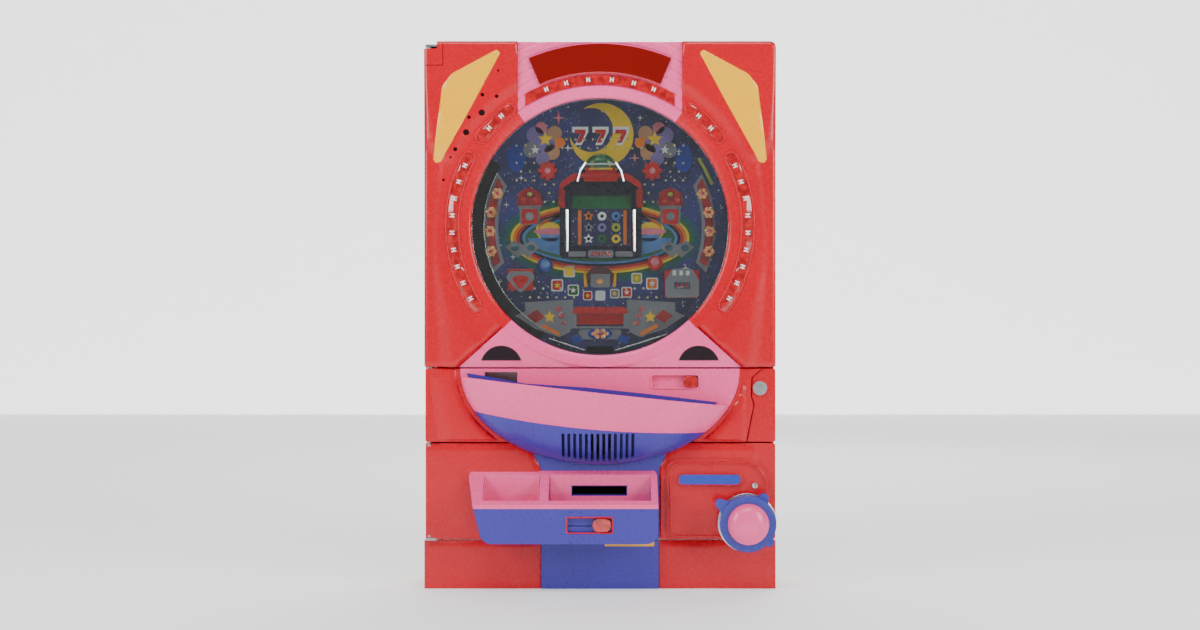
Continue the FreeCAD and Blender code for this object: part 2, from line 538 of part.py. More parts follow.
LENS_PROUD = 4.0
LAMP_IN = 210.0
LAMP_OUT = 226.0
lens_front = PANEL_FRONT - LENS_PROUD
save("title_plate", ring_piece(226.5, 269, -23, 23, PANEL_FRONT, PANEL_FRONT - 6))
lenses = [ring_piece(LAMP_IN - 1, LAMP_OUT - 2.5, -29.5, 29.5, PANEL_FRONT, lens_front)]
for start, end in ((38, 53), (62.5, 122.5)):
    lens = ring_piece(LAMP_IN, LAMP_OUT, start, end, PANEL_FRONT, lens_front, round_ends=True)
    lenses += [lens, mirrored(lens)]
save("lamp_lenses", *lenses)
corner = slab([(-HALF_W + 109, FRAME_H - 14, 4), (-HALF_W + 42, FRAME_H - 50, 20),
               (-HALF_W + 28, FRAME_H - 68, 16), (-HALF_W + 14, FRAME_H - 175, 4),
               (-HALF_W + 18, FRAME_H - 181, 3), (-HALF_W + 26, FRAME_H - 179, 3),
               (-HALF_W + 47, FRAME_H - 141, 60), (-HALF_W + 77, FRAME_H - 87, 60),
               (-HALF_W + 113, FRAME_H - 20, 4)], PANEL_FRONT, lens_front)
save("corner_lenses", corner, mirrored(corner))
SENSOR_X = 145.5
SENSOR_HALF = 29.5
sensor_z = GLASS_SEAM + 11
sensor = rod_y(SENSOR_X, sensor_z - 9, SENSOR_HALF + 1.5, PANEL_FRONT, PANEL_FRONT - 2)
sensor = sensor.common(block(SENSOR_X - 40, SENSOR_X + 40, PANEL_FRONT, PANEL_FRONT - 2,
                             sensor_z, sensor_z + 40))
save("sensor_windows", sensor, mirrored(sensor))

# ---- tray door ----------------------------------------------------------------------------
TRAY_LOW = TRAY_SEAM + SEAM
TRAY_HIGH = GLASS_SEAM - SEAM
BOWL_HALF = 206.0
BOWL_DEEP = 140.0
BOWL_PROUD = 62.0
BOWL_WALL = 4.0
BOWL_Z = GLASS_SEAM - 3
tray_lock_edge = [(x - SWING_GAP, z) if i in (0, 4) else (x - SWING_GAP, z, 3)
                  for i, (x, z) in enumerate(point[:2] for point in lock_edge)]
tray_outline = outline([(LEAF_LEFT, TRAY_LOW), (LEAF_LEFT, TRAY_HIGH)] + tray_lock_edge)
BALL_OUTLET = (-170.0, -122.0, GLASS_SEAM - 30, GLASS_SEAM - 6)
UPPER_RELEASE_X = (75.0, 145.0)
UPPER_RELEASE_Z = (GLASS_SEAM - 30, GLASS_SEAM - 11)
UPPER_RELEASE_DEEP = 6.0
low_tray_lug = LOW_LEAF + HINGE_LEAF_T + LUG_GAP + 2
high_tray_lug = MID_LEAF - LUG_GAP - LUG_T


def oval_block(grow, back, front):
    """Elliptical block about the bowl's centre, as wide as the bowl and some millimetres more."""
    curve = Part.Ellipse(V(0, 0, 0), BOWL_HALF + grow, BOWL_DEEP + grow)
    face = Part.Face(Part.Wire(curve.toShape()))
    face.rotate(V(0, 0, 0), RIGHT, 90)
    face.translate(V(0, 0, BOWL_Z))
    return raise_face(face, back, front)


tray_plate = raise_face(tray_outline, LEAF_REAR, LEAF_FRONT)
tray_plate = tray_plate.cut(block(LEAF_LEFT, NOTCH_X, LEAF_REAR, LEAF_FRONT, MID_LEAF - 2, TRAY_HIGH))
centre_panel = raise_face(tray_outline, LEAF_FRONT, PANEL_FRONT).common(
    oval_block(0, LEAF_FRONT, PANEL_FRONT))
tray_back = tray_plate.fuse(centre_panel).removeSplitter()
tray_back = tray_back.cut(block(BALL_OUTLET[0], BALL_OUTLET[1], LEAF_REAR, PANEL_FRONT,
                                BALL_OUTLET[2], BALL_OUTLET[3]))
tray_back = tray_back.cut(block(*UPPER_RELEASE_X, PANEL_FRONT + UPPER_RELEASE_DEEP, PANEL_FRONT,
                                *UPPER_RELEASE_Z))
save("tray_door_panel", tray_back, door_lug(low_tray_lug), door_lug(high_tray_lug))


OVAL_GAP = 0.5
cheeks = raise_face(tray_outline, LEAF_FRONT, PANEL_FRONT).cut(
    oval_block(OVAL_GAP, LEAF_FRONT, PANEL_FRONT))
cheek_hollow = raise_face(tray_outline.makeOffset2D(-WALL), LEAF_FRONT, PANEL_FRONT + WALL).cut(
    oval_block(OVAL_GAP + WALL, LEAF_FRONT, PANEL_FRONT))
side_solids = cheeks.cut(cheek_hollow).Solids
side_solids.sort(key=lambda solid: solid.BoundBox.Center.x)
for low, high in ((TRAY_LOW, low_tray_lug + LUG_T + 6), (high_tray_lug - 6, TRAY_HIGH)):
    side_solids[0] = side_solids[0].cut(block(LEAF_LEFT, POCKET_X, LEAF_FRONT, hinge_pocket_front,
                                              low, high))
save("tray_side_panels", *side_solids)

bowl_centre = V(0, PANEL_FRONT, BOWL_Z)
outer_bowl = ellipsoid(bowl_centre, BOWL_HALF, BOWL_PROUD, BOWL_DEEP)
inner_bowl = ellipsoid(bowl_centre, BOWL_HALF - BOWL_WALL, BOWL_PROUD - BOWL_WALL,
                       BOWL_DEEP - BOWL_WALL)
bowl_low = BOWL_Z - BOWL_DEEP - 1
bowl_reach = PANEL_FRONT - BOWL_PROUD - 1
LIP_LEFT = BOWL_Z - 9        # height of the tray's front lip at its left end
LIP_RIGHT = BOWL_Z - 54
COLOUR_LEFT = BOWL_Z - 56    # height of the seam between lip and bowl
COLOUR_MID = BOWL_Z - 86
COLOUR_RIGHT = BOWL_Z - 90
FLOOR_DROP = 28.0
FLOOR_T = 3.0


def tray_zone(upper_left, upper_right, lower):
    """Block in front of the tray door between a sloping top and a lower edge."""
    ends = [Part.LineSegment(V(-BOWL_HALF, 0, upper_left), V(BOWL_HALF, 0, upper_right)).toShape()]
    if lower is None:
        points = [V(BOWL_HALF, 0, upper_right), V(BOWL_HALF, 0, bowl_low), V(-BOWL_HALF, 0, bowl_low),
                  V(-BOWL_HALF, 0, upper_left)]
        ends += [Part.LineSegment(a, b).toShape() for a, b in zip(points, points[1:])]
    else:
        left, middle, right = lower
        ends.append(Part.LineSegment(V(BOWL_HALF, 0, upper_right), V(BOWL_HALF, 0, right)).toShape())
        ends.append(Part.Arc(V(BOWL_HALF, 0, right), V(0, 0, middle), V(-BOWL_HALF, 0, left)).toShape())
        ends.append(Part.LineSegment(V(-BOWL_HALF, 0, left), V(-BOWL_HALF, 0, upper_left)).toShape())
    return raise_face(Part.Face(Part.Wire(ends)), PANEL_FRONT, bowl_reach)


colour_line = (COLOUR_LEFT, COLOUR_MID, COLOUR_RIGHT)
lip_zone = tray_zone(LIP_LEFT, LIP_RIGHT, colour_line)
all_below = tray_zone(LIP_LEFT, LIP_RIGHT, None)
bowl_zone = all_below.cut(lip_zone)
skin = outer_bowl.cut(inner_bowl)
floor_top = tray_zone(LIP_LEFT - FLOOR_DROP, LIP_RIGHT - FLOOR_DROP, None)
floor_under = tray_zone(LIP_LEFT - FLOOR_DROP - FLOOR_T, LIP_RIGHT - FLOOR_DROP - FLOOR_T, None)
trough_floor = inner_bowl.common(floor_top).cut(floor_under)
save("tray_lip", skin.common(lip_zone).fuse(trough_floor).removeSplitter())
bowl_back = inner_bowl.common(bowl_zone).common(
    block(-BOWL_HALF, BOWL_HALF, PANEL_FRONT, PANEL_FRONT - WALL, bowl_low, BOWL_Z))
bowl = skin.common(bowl_zone).fuse(bowl_back).removeSplitter()
SLOT_COUNT = 13
SLOT_PITCH = 8.44
SLOT_W = 4.3
SLOT_MID = -3.0
slot_low = BOWL_Z - 133
slot_high = BOWL_Z - 91
for i in range(SLOT_COUNT):
    x = SLOT_MID + (i - (SLOT_COUNT - 1) / 2) * SLOT_PITCH
    bowl = bowl.cut(block(x - SLOT_W / 2, x + SLOT_W / 2, PANEL_FRONT - WALL - 14, bowl_reach,
                          slot_low, slot_high))
save("tray_bowl", bowl)
SPEAKER_R = 20.0
speaker_z = BOWL_Z - 106
speaker_back = PANEL_FRONT - WALL
basket_ring = rod_y(0, speaker_z, SPEAKER_R, speaker_back, speaker_back - 10)
cone = Part.makeCone(6, SPEAKER_R - 3, 7, V(0, speaker_back - 3, speaker_z), V(0, -1, 0))
save("speaker_unit", basket_ring.cut(cone))
save("tray_release_button",
     slab([(UPPER_RELEASE_X[1] - 22, UPPER_RELEASE_Z[0] + 0.5, 8), (UPPER_RELEASE_X[1] - 1,
           UPPER_RELEASE_Z[0] + 0.5, 8), (UPPER_RELEASE_X[1] - 1, UPPER_RELEASE_Z[1] - 0.5, 8),
           (UPPER_RELEASE_X[1] - 22, UPPER_RELEASE_Z[1] - 0.5, 8)],
          PANEL_FRONT + UPPER_RELEASE_DEEP - FIT, PANEL_FRONT - 3))

# ---- playfield ----------------------------------------------------------------------------
FIELD_HALF = 216.0
FIELD_LOW = GLASS_SEAM + 5
FIELD_HIGH = FRAME_H - 40
FIELD_T = 19.0
FIELD_BACK = MAIN_REAR + FIELD_T
SCREEN_X = (-48.0, 51.0)
SCREEN_Z = (WINDOW_Z - 33.5, WINDOW_Z + 52.5)
field = block(-FIELD_HALF, FIELD_HALF, FIELD_BACK, MAIN_REAR, FIELD_LOW, FIELD_HIGH)
field = field.cut(block(*SCREEN_X, FIELD_BACK, MAIN_REAR, *SCREEN_Z))
OUT_HALF = 20.0
OUT_Z = (WINDOW_Z - 188.5, WINDOW_Z - 177.5)
field = field.cut(block(-OUT_HALF, OUT_HALF, FIELD_BACK, MAIN_REAR, *OUT_Z))
save("playfield_board", field)

RAIL_T = 1.2
RAIL_FRONT = LEAF_REAR - 6.5
OUTER_RAIL_R = 190.0
INNER_RAIL_R = 172.0


def sloping_strip(x0, z0, x1, z1, thick, front):
    run = V(x1 - x0, 0, z1 - z0)
    side = V(-run.z, 0, run.x).normalize() * (thick / 2)
    return slab([(x0 + side.x, z0 + side.z), (x1 + side.x, z1 + side.z),
                 (x1 - side.x, z1 - side.z), (x0 - side.x, z0 - side.z)], MAIN_REAR, front)


save("guide_rails",
     ring_piece(OUTER_RAIL_R, OUTER_RAIL_R + RAIL_T, -152, 165, MAIN_REAR, RAIL_FRONT),
     ring_piece(INNER_RAIL_R, INNER_RAIL_R + RAIL_T, -152, -62, MAIN_REAR, RAIL_FRONT),
     sloping_strip(-76, WINDOW_Z - 165, -23, WINDOW_Z - 183, 2, RAIL_FRONT),
     sloping_strip(100, WINDOW_Z - 159, 23, WINDOW_Z - 183, 2, RAIL_FRONT))

SPINNER_X = 78.0
SPINNER_Z = WINDOW_Z + 84.5
SPINNER_R = 15.0
PEG_R = 1.0
NAIL_R = 0.9
NAIL_LONG = 16.5
START_Z = WINDOW_Z - 78.5
WING_X = 21.0
WING_PIVOT_Z = START_Z - 8
NAIL_PITCH = 13.0
NAIL_ZONES = ((-124, -96, 70, 132), (98, 130, 70, 132), (-56, 62, 118, 134), (-104, -32, -104, -84),
              (32, 88, -104, -84), (-82, -64, 38, 64), (66, 84, 38, 64))
nails = []
for x0, x1, low, high in NAIL_ZONES:
    for row in range(int((high - low) / NAIL_PITCH) + 1):
        shift = NAIL_PITCH / 2 if row % 2 else 0
        for column in range(int((x1 - x0 - shift) / NAIL_PITCH) + 1):
            x = x0 + shift + column * NAIL_PITCH
            nails.append(rod_y(x, WINDOW_Z + low + row * NAIL_PITCH, NAIL_R, MAIN_REAR,
                               MAIN_REAR - NAIL_LONG))
for side in (-1, 1):
    nails.append(rod_y(side * SPINNER_X, SPINNER_Z, PEG_R, MAIN_REAR, MAIN_REAR - NAIL_LONG))
    nails.append(rod_y(side * WING_X, WING_PIVOT_Z, PEG_R, MAIN_REAR, MAIN_REAR - NAIL_LONG))
save("playfield_nails", *nails)

for name, side in (("spinner_left", -1), ("spinner_right", 1)):
    rotor = rod_y(side * SPINNER_X, SPINNER_Z, 3.2, MAIN_REAR - 5, MAIN_REAR - 15)
    for i in range(6):
        vane = block(2.4, SPINNER_R, MAIN_REAR - 6, MAIN_REAR - 14, -0.8, 0.8)
        vane.rotate(V(0, 0, 0), BACKWARD, i * 60)
        vane.translate(V(side * SPINNER_X, 0, SPINNER_Z))
        rotor = rotor.fuse(vane)
    bore = rod_y(side * SPINNER_X, SPINNER_Z, PEG_R + RUN, MAIN_REAR, MAIN_REAR - NAIL_LONG)
    save(name, rotor.cut(bore).removeSplitter())

UNIT_FRONT = MAIN_REAR - 13
save("display_screen",
     block(SCREEN_X[0] + FIT, SCREEN_X[1] - FIT, FIELD_BACK, MAIN_REAR + 0.5,
           SCREEN_Z[0] + FIT, SCREEN_Z[1] - FIT))
housing = slab([(-60, WINDOW_Z - 46, 6), (62, WINDOW_Z - 46, 6), (62, WINDOW_Z + 68, 4),
                (-60, WINDOW_Z + 68, 4)], MAIN_REAR, UNIT_FRONT)
housing = housing.cut(block(-42.6, 46, MAIN_REAR, UNIT_FRONT, WINDOW_Z - 27.5, WINDOW_Z + 48.5))
crest = slab([(-25, WINDOW_Z + 68), (27, WINDOW_Z + 68), (27, WINDOW_Z + 84), (-25, WINDOW_Z + 84)],
             MAIN_REAR, UNIT_FRONT)
dome_top = ellipsoid(V(1, MAIN_REAR, WINDOW_Z + 84), 23, 13, 28)
dome_top = dome_top.common(block(-23, 25, MAIN_REAR, UNIT_FRONT, WINDOW_Z + 84, WINDOW_Z + 113))
save("display_housing", housing.fuse(crest).fuse(dome_top).removeSplitter())

lamp_solids = []
side_strip = ring_piece(150, 170.5, 68, 112, MAIN_REAR, MAIN_REAR - 9)
house = slab([(86, WINDOW_Z + 3, 4), (124, WINDOW_Z + 3, 4), (124, WINDOW_Z + 57, 4),
              (86, WINDOW_Z + 57, 4)], MAIN_REAR, MAIN_REAR - 11)
for solid in (side_strip, house):
    lamp_solids += [solid, mirrored(solid)]
save("playfield_lamps", *lamp_solids)


def catch_pocket(x0, x1, low, high, wall, front):
    """Cup that is open at its top and lets a ball through the playfield side."""
    cup_points = [(x0, low, 4), (x1, low, 4), (x1, high), (x0, high)]
    hollow = block(x0 + wall, x1 - wall, MAIN_REAR - 1.5, front + 1.5, low + wall, high)
    return slab(cup_points, MAIN_REAR, front).cut(hollow)


save("side_pockets",
     catch_pocket(-137, -99, WINDOW_Z - 94, WINDOW_Z - 62, 4, MAIN_REAR - 17),
     catch_pocket(96, 148, WINDOW_Z - 105, WINDOW_Z - 64, 4, MAIN_REAR - 17))

HOLD_HALF = 40.0
DOOR_HALF = 34.5
DOOR_OPEN = (WINDOW_Z - 147.5, WINDOW_Z - 125.5)
PIVOT_Y = MAIN_REAR - 3
PIVOT_Z = DOOR_OPEN[0] + 3.5
PIVOT_R = 1.25
attacker = slab([(-HOLD_HALF, WINDOW_Z - 150.5), (HOLD_HALF, WINDOW_Z - 150.5),
                 (HOLD_HALF, WINDOW_Z - 122.5), (-HOLD_HALF, WINDOW_Z - 122.5)],
                MAIN_REAR, UNIT_FRONT)
attacker = attacker.cut(block(-DOOR_HALF - 0.5, DOOR_HALF + 0.5, MAIN_REAR, UNIT_FRONT, *DOOR_OPEN))
attacker = attacker.cut(rod_x(PIVOT_Y, PIVOT_Z, PIVOT_R + RUN, -HOLD_HALF + 1, HOLD_HALF - 1))
cheek_right = slab([(HOLD_HALF, WINDOW_Z - 150.5), (62, WINDOW_Z - 154), (112, WINDOW_Z - 123.5),
                    (112, WINDOW_Z - 111.5), (HOLD_HALF, WINDOW_Z - 107.5)], MAIN_REAR, MAIN_REAR - 10)
lamp_plate = slab([(-32, WINDOW_Z - 167, 4), (32, WINDOW_Z - 167, 4), (32, WINDOW_Z - 152, 4),
                   (-32, WINDOW_Z - 152, 4)], MAIN_REAR, MAIN_REAR - 8)
save("centre_pockets", attacker, cheek_right, mirrored(cheek_right), lamp_plate,
     catch_pocket(-14, 15, START_Z - 11, START_Z + 9, 2.5, MAIN_REAR - 15))
flap = block(-DOOR_HALF, DOOR_HALF, PIVOT_Y + 1, PIVOT_Y - 1, PIVOT_Z, PIVOT_Z + 15)
flap = flap.fuse(rod_x(PIVOT_Y, PIVOT_Z, PIVOT_R, -HOLD_HALF + 1.5, HOLD_HALF - 1.5))
save("attacker_door", flap.removeSplitter())
for name, side in (("start_wing_left", -1), ("start_wing_right", 1)):
    x = side * WING_X
    blade = slab([(x - side * 2, WING_PIVOT_Z - 2, 1), (x + side * 2.6, WING_PIVOT_Z - 2, 1),
                  (x + side * 3.5, WING_PIVOT_Z + 20, 1), (x + side * 0.5, WING_PIVOT_Z + 20, 1)],
                 MAIN_REAR - 3, MAIN_REAR - 14)
    blade = blade.fuse(rod_y(x, WING_PIVOT_Z, 2.6, MAIN_REAR - 3, MAIN_REAR - 14))
    save(name, blade.cut(rod_y(x, WING_PIVOT_Z, PEG_R + RUN, MAIN_REAR, MAIN_REAR - NAIL_LONG)))

# ---- launcher, below the playfield ---------------------------------------------------------
HAMMER_X = 66.0
HAMMER_Z = GLASS_SEAM - 4
launch_plate = block(LAUNCH_LEFT - 8, LAUNCH_RIGHT + 8, MAIN_REAR + 4, MAIN_REAR,
                     LAUNCH_LOW - 10, FIELD_LOW - 0.5)
peg = rod_y(HAMMER_X, HAMMER_Z, 2, MAIN_REAR, LEAF_REAR + 3)
coil = block(71, 83, MAIN_REAR, LEAF_REAR + 3, LAUNCH_LOW + 2, LAUNCH_LOW + 21)
launch_rail = sloping_strip(44, LAUNCH_LOW + 10, -60, LAUNCH_LOW + 38, 4, LEAF_REAR + 3)
save("launch_unit", launch_plate.fuse(peg).fuse(launch_rail).removeSplitter(), coil)
hammer = slab([(HAMMER_X - 3, HAMMER_Z + 3, 2.5), (HAMMER_X + 3, HAMMER_Z + 3, 2.5),
               (HAMMER_X - 7, HAMMER_Z - 24, 2.5), (HAMMER_X - 13, HAMMER_Z - 24, 2.5)],
              MAIN_REAR - 1.5, LEAF_REAR + 4)
hammer = hammer.fuse(rod_y(HAMMER_X, HAMMER_Z, 5, MAIN_REAR - 1.5, LEAF_REAR + 4))
save("launcher_hammer", hammer.cut(rod_y(HAMMER_X, HAMMER_Z, 2 + RUN, MAIN_REAR, LEAF_REAR)))

# ---- rear mechanism -----------------------------------------------------------------------
REAR_T = 4.0
REAR_BACK = BASKET_BACK + REAR_T
COVER_X = (-132.0, 126.0)
COVER_Z = (440.0, FRAME_H - 126)
rear = block(BASKET_LEFT, BASKET_RIGHT, BASKET_BACK, REAR_BACK, BASKET_BOTTOM, BASKET_TOP)
rear = rear.cut(block(COVER_X[0] + 6, COVER_X[1] - 6, BASKET_BACK, REAR_BACK,
                      COVER_Z[0] + 6, COVER_Z[1] - 6))
PIVOT_X = COVER_X[0] - 6
PIVOT_BACK = REAR_BACK + 6
COVER_PIN_R = 2.0
for low in (COVER_Z[0] + 30, COVER_Z[1] - 40):
    ear = block(PIVOT_X - 4, PIVOT_X + 4, REAR_BACK, PIVOT_BACK + 4, low, low + 5)
    rear = rear.fuse(ear).fuse(rod_z(PIVOT_X, PIVOT_BACK, COVER_PIN_R, low, low + 14))
save("rear_mechanism_frame", rear.removeSplitter())
COVER_DEEP = 58.0
COVER_WALL = 2.0
cover = block(*COVER_X, REAR_BACK + 0.5, REAR_BACK + COVER_DEEP, *COVER_Z)
cover = cover.cut(block(COVER_X[0] + COVER_WALL, COVER_X[1] - COVER_WALL, REAR_BACK + 0.5,
                        REAR_BACK + COVER_DEEP - COVER_WALL, COVER_Z[0] + COVER_WALL,
                        COVER_Z[1] - COVER_WALL))
for low in (COVER_Z[0] + 35.5, COVER_Z[1] - 34.5):
    ear = block(PIVOT_X, COVER_X[0], PIVOT_BACK - 3, PIVOT_BACK + 3, low, low + 6)
    ear = ear.fuse(rod_z(PIVOT_X, PIVOT_BACK, 4, low, low + 6))
    cover = cover.fuse(ear).cut(rod_z(PIVOT_X, PIVOT_BACK, COVER_PIN_R + RUN, low, low + 6))
save("rear_cover", cover.removeSplitter())

TANK_X = (-190.0, 150.0)
TANK_DEEP = 70.0
TANK_Z = (FRAME_H - 98, FRAME_H - 34)
tank = block(*TANK_X, REAR_BACK, REAR_BACK + TANK_DEEP, *TANK_Z)
tank = tank.cut(block(TANK_X[0] + WALL, TANK_X[1] - WALL, REAR_BACK + WALL,
                      REAR_BACK + TANK_DEEP - WALL, TANK_Z[0] + WALL, TANK_Z[1]))
tank = tank.cut(rod_z(TANK_X[1] - 20, REAR_BACK + 24, 8, TANK_Z[0], TANK_Z[1]))
RAIL_DEEP = 34.0
supply = block(100, 190, REAR_BACK, REAR_BACK + RAIL_DEEP, TANK_Z[0] - 24, TANK_Z[0])
supply = supply.cut(block(103, 187, REAR_BACK + WALL, REAR_BACK + RAIL_DEEP - WALL,
                          TANK_Z[0] - 21, TANK_Z[0]))
save("ball_tank", tank, supply)

PAYOUT_X = (140.0, 190.0)
PAYOUT_Z = (240.0, 600.0)
PAYOUT_DEEP = 50.0
WHEEL_Z = 540.0
WHEEL_R = 15.0
wheel_x = sum(PAYOUT_X) / 2
wheel_y = REAR_BACK + PAYOUT_DEEP / 2
payout = block(*PAYOUT_X, REAR_BACK, REAR_BACK + PAYOUT_DEEP, *PAYOUT_Z)
payout = payout.cut(rod_x(wheel_y, WHEEL_Z, WHEEL_R + 2.5, wheel_x - 11, wheel_x + 11))
payout = payout.cut(rod_z(wheel_x, wheel_y, 7, *PAYOUT_Z))
payout = payout.fuse(rod_x(wheel_y, WHEEL_Z, 2.5, PAYOUT_X[0], PAYOUT_X[1]))
save("payout_case", payout.removeSplitter())
wheel = rod_x(wheel_y, WHEEL_Z, WHEEL_R, wheel_x - 8, wheel_x + 8)
for i in range(4):
    turn = math.radians(45 + 90 * i)
    wheel = wheel.cut(rod_x(wheel_y + WHEEL_R * math.cos(turn), WHEEL_Z + WHEEL_R * math.sin(turn),
                            6, wheel_x - 8, wheel_x + 8))
save("payout_wheel", wheel.cut(rod_x(wheel_y, WHEEL_Z, 2.5 + RUN, wheel_x - 8, wheel_x + 8)))

inlet_x = 160.0
inlet_z = 150.0
power_box = block(20, 190, REAR_BACK, REAR_BACK + 32, 115, 225)
power_box = power_box.cut(block(inlet_x - 13, inlet_x + 13, REAR_BACK + 17, REAR_BACK + 32,
                                inlet_z - 9, inlet_z + 9))
save("circuit_cases",
     block(-60, 62, FIELD_BACK, FIELD_BACK + 26, WINDOW_Z - 46, WINDOW_Z + 65),
     block(-130, 110, REAR_BACK, REAR_BACK + 22, 250, 420),
     block(-190, 0, REAR_BACK, REAR_BACK + 26, 115, 235), power_box)
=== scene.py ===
# %% [markdown]
# # A pachinko machine
# This lesson dresses a finished CAD model of a pachinko machine: an upright ball game in a
# wooden frame, with a round window over a nailed playfield, two ball trays and a launch handle.
# The CAD model gives every size and every moving body. Here we give the plastic its soft
# shapes, the lamps their bulbs and the playfield its picture.

# %% Load the frame
import bpy
import bmesh
import json
import math
from mathutils import Matrix, Vector


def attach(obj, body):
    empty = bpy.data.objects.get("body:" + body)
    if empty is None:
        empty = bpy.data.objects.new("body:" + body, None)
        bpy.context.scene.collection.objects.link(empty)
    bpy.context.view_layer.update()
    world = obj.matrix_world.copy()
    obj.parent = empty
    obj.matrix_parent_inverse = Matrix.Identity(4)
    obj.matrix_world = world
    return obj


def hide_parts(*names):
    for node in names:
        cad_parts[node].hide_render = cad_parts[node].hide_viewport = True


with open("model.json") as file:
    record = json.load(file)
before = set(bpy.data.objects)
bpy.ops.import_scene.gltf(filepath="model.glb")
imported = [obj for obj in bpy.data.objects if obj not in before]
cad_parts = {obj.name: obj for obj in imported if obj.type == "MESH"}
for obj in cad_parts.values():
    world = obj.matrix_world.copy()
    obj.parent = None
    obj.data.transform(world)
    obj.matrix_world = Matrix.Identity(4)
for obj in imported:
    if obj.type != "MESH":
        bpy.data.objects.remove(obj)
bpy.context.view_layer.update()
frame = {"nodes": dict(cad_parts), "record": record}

# %% [markdown]
# ## Camera, floor and light
# The machine is looked at straight from the front, from a few steps away, so the lens is
# slightly long and the picture is nearly flat. A pale floor and large soft lamps keep the
# gloss gentle: the side lamps draw the soft highlights on the bulging cheeks.

# %% Camera
MM = 0.001
EYE_AWAY = 2.6
FIELD_WIDE = 1.7676
FRONT_Y = -90 * MM
EYE_HIGH = 405 * MM

camera_data = bpy.data.cameras.new("camera")
camera = bpy.data.objects.new("camera", camera_data)
bpy.context.scene.collection.objects.link(camera)
camera.location = (0, FRONT_Y - EYE_AWAY, EYE_HIGH)
camera.rotation_euler = (math.radians(90), 0, 0)
camera_data.sensor_width = 36
camera_data.lens = 36 * EYE_AWAY / FIELD_WIDE
bpy.context.scene.camera = camera
print("lens", round(camera_data.lens, 1), "mm")

# %% Floor and world
def stage_plane(name, size, place, turn, colour, glow=0.0):
    flat = bmesh.new()
    bmesh.ops.create_grid(flat, x_segments=1, y_segments=1, size=size)
    data = bpy.data.meshes.new(name)
    flat.to_mesh(data)
    flat.free()
    plane = bpy.data.objects.new(name, data)
    plane.location = place
    plane.rotation_euler = turn
    bpy.context.scene.collection.objects.link(plane)
    paint = bpy.data.materials.new(name + "_paint")
    paint.use_nodes = True
    shader = paint.node_tree.nodes["Principled BSDF"]
    shader.inputs["Base Color"].default_value = colour
    shader.inputs["Roughness"].default_value = 0.9
    shader.inputs["Emission Color"].default_value = (1, 1, 1, 1)
    shader.inputs["Emission Strength"].default_value = glow
    data.materials.append(paint)
    return plane


PALE = (0.93, 0.93, 0.94, 1)
stage_plane("floor", 6, (0, 0, 0), (0, 0, 0), PALE, 0.3)
stage_plane("backdrop", 9, (0, 4.5, 2), (math.radians(90), 0, 0), PALE, 1.7)
world = bpy.data.worlds.new("room")
world.use_nodes = True
world.node_tree.nodes["Background"].inputs["Color"].default_value = (1, 1, 1, 1)
world.node_tree.nodes["Background"].inputs["Strength"].default_value = 0.26
bpy.context.scene.world = world


# %% Lamps
def soft_light(name, place, aim, wide, power):
    light_data = bpy.data.lights.new(name, "AREA")
    light_data.shape = "RECTANGLE"
    light_data.size = wide[0]
    light_data.size_y = wide[1]
    light_data.energy = power
    light = bpy.data.objects.new(name, light_data)
    light.location = place
    heading = Vector(aim) - Vector(place)
    light.rotation_euler = heading.to_track_quat("-Z", "Y").to_euler()
    bpy.context.scene.collection.objects.link(light)
    return light


MIDDLE = (0, 0, 0.45)
soft_light("light_left", (-2.2, -1.9, 1.5), MIDDLE, (1.0, 1.8), 56)
soft_light("light_right", (2.2, -1.9, 1.3), MIDDLE, (0.9, 1.6), 50)
soft_light("light_above", (0, -1.6, 2.4), MIDDLE, (1.6, 0.8), 30)
soft_light("light_behind", (0.6, 2.6, 1.8), MIDDLE, (2.0, 1.2), 30)

# %% [markdown]
# ## Finishes
# Nearly all that shows is coloured, gloss moulded plastic. Each finish is a small node tree on
# object coordinates: a colour that drifts a little from place to place, a faint orange-peel
# bump as moulded plastic has, fine scuffs in the roughness, and a clear gloss on top.

# %% Helpers for finishes
def tree_of(name):
    material = bpy.data.materials.new(name)
    material.use_nodes = True
    nodes = material.node_tree.nodes
    return material, nodes, material.node_tree.links, nodes["Principled BSDF"]


def srgb(red, green, blue):
    """A colour as read from a paint card, 0 to 255, turned into linear light."""
    linear = []
    for value in (red, green, blue):
        share = value / 255
        linear.append(share / 12.92 if share <= 0.04045 else ((share + 0.055) / 1.055) ** 2.4)
    return (*linear, 1)


def noise(nodes, links, scale, detail=3.0, rough=0.5, stretch=(1, 1, 1)):
    """Noise in object space; scale is in features per metre."""
    place = nodes.new("ShaderNodeTexCoord")
    mapping = nodes.new("ShaderNodeMapping")
    mapping.inputs["Scale"].default_value = stretch
    links.new(place.outputs["Object"], mapping.inputs["Vector"])
    texture = nodes.new("ShaderNodeTexNoise")
    texture.inputs["Scale"].default_value = scale
    texture.inputs["Detail"].default_value = detail
    texture.inputs["Roughness"].default_value = rough
    links.new(mapping.outputs["Vector"], texture.inputs["Vector"])
    return texture


def ramp(nodes, links, source, stops):
    """Colour ramp over a 0 to 1 value; stops are (place, colour)."""
    strip = nodes.new("ShaderNodeValToRGB")
    strip.color_ramp.elements[0].position = stops[0][0]
    strip.color_ramp.elements[0].color = stops[0][1]
    strip.color_ramp.elements[1].position = stops[-1][0]
    strip.color_ramp.elements[1].color = stops[-1][1]
    for place, colour in stops[1:-1]:
        element = strip.color_ramp.elements.new(place)
        element.color = colour
    links.new(source, strip.inputs["Fac"])
    return strip


def bump(nodes, links, shader, height, strength, distance):
    node = nodes.new("ShaderNodeBump")
    node.inputs["Strength"].default_value = strength
    node.inputs["Distance"].default_value = distance
    links.new(height, node.inputs["Height"])
    links.new(node.outputs["Normal"], shader.inputs["Normal"])
    return node


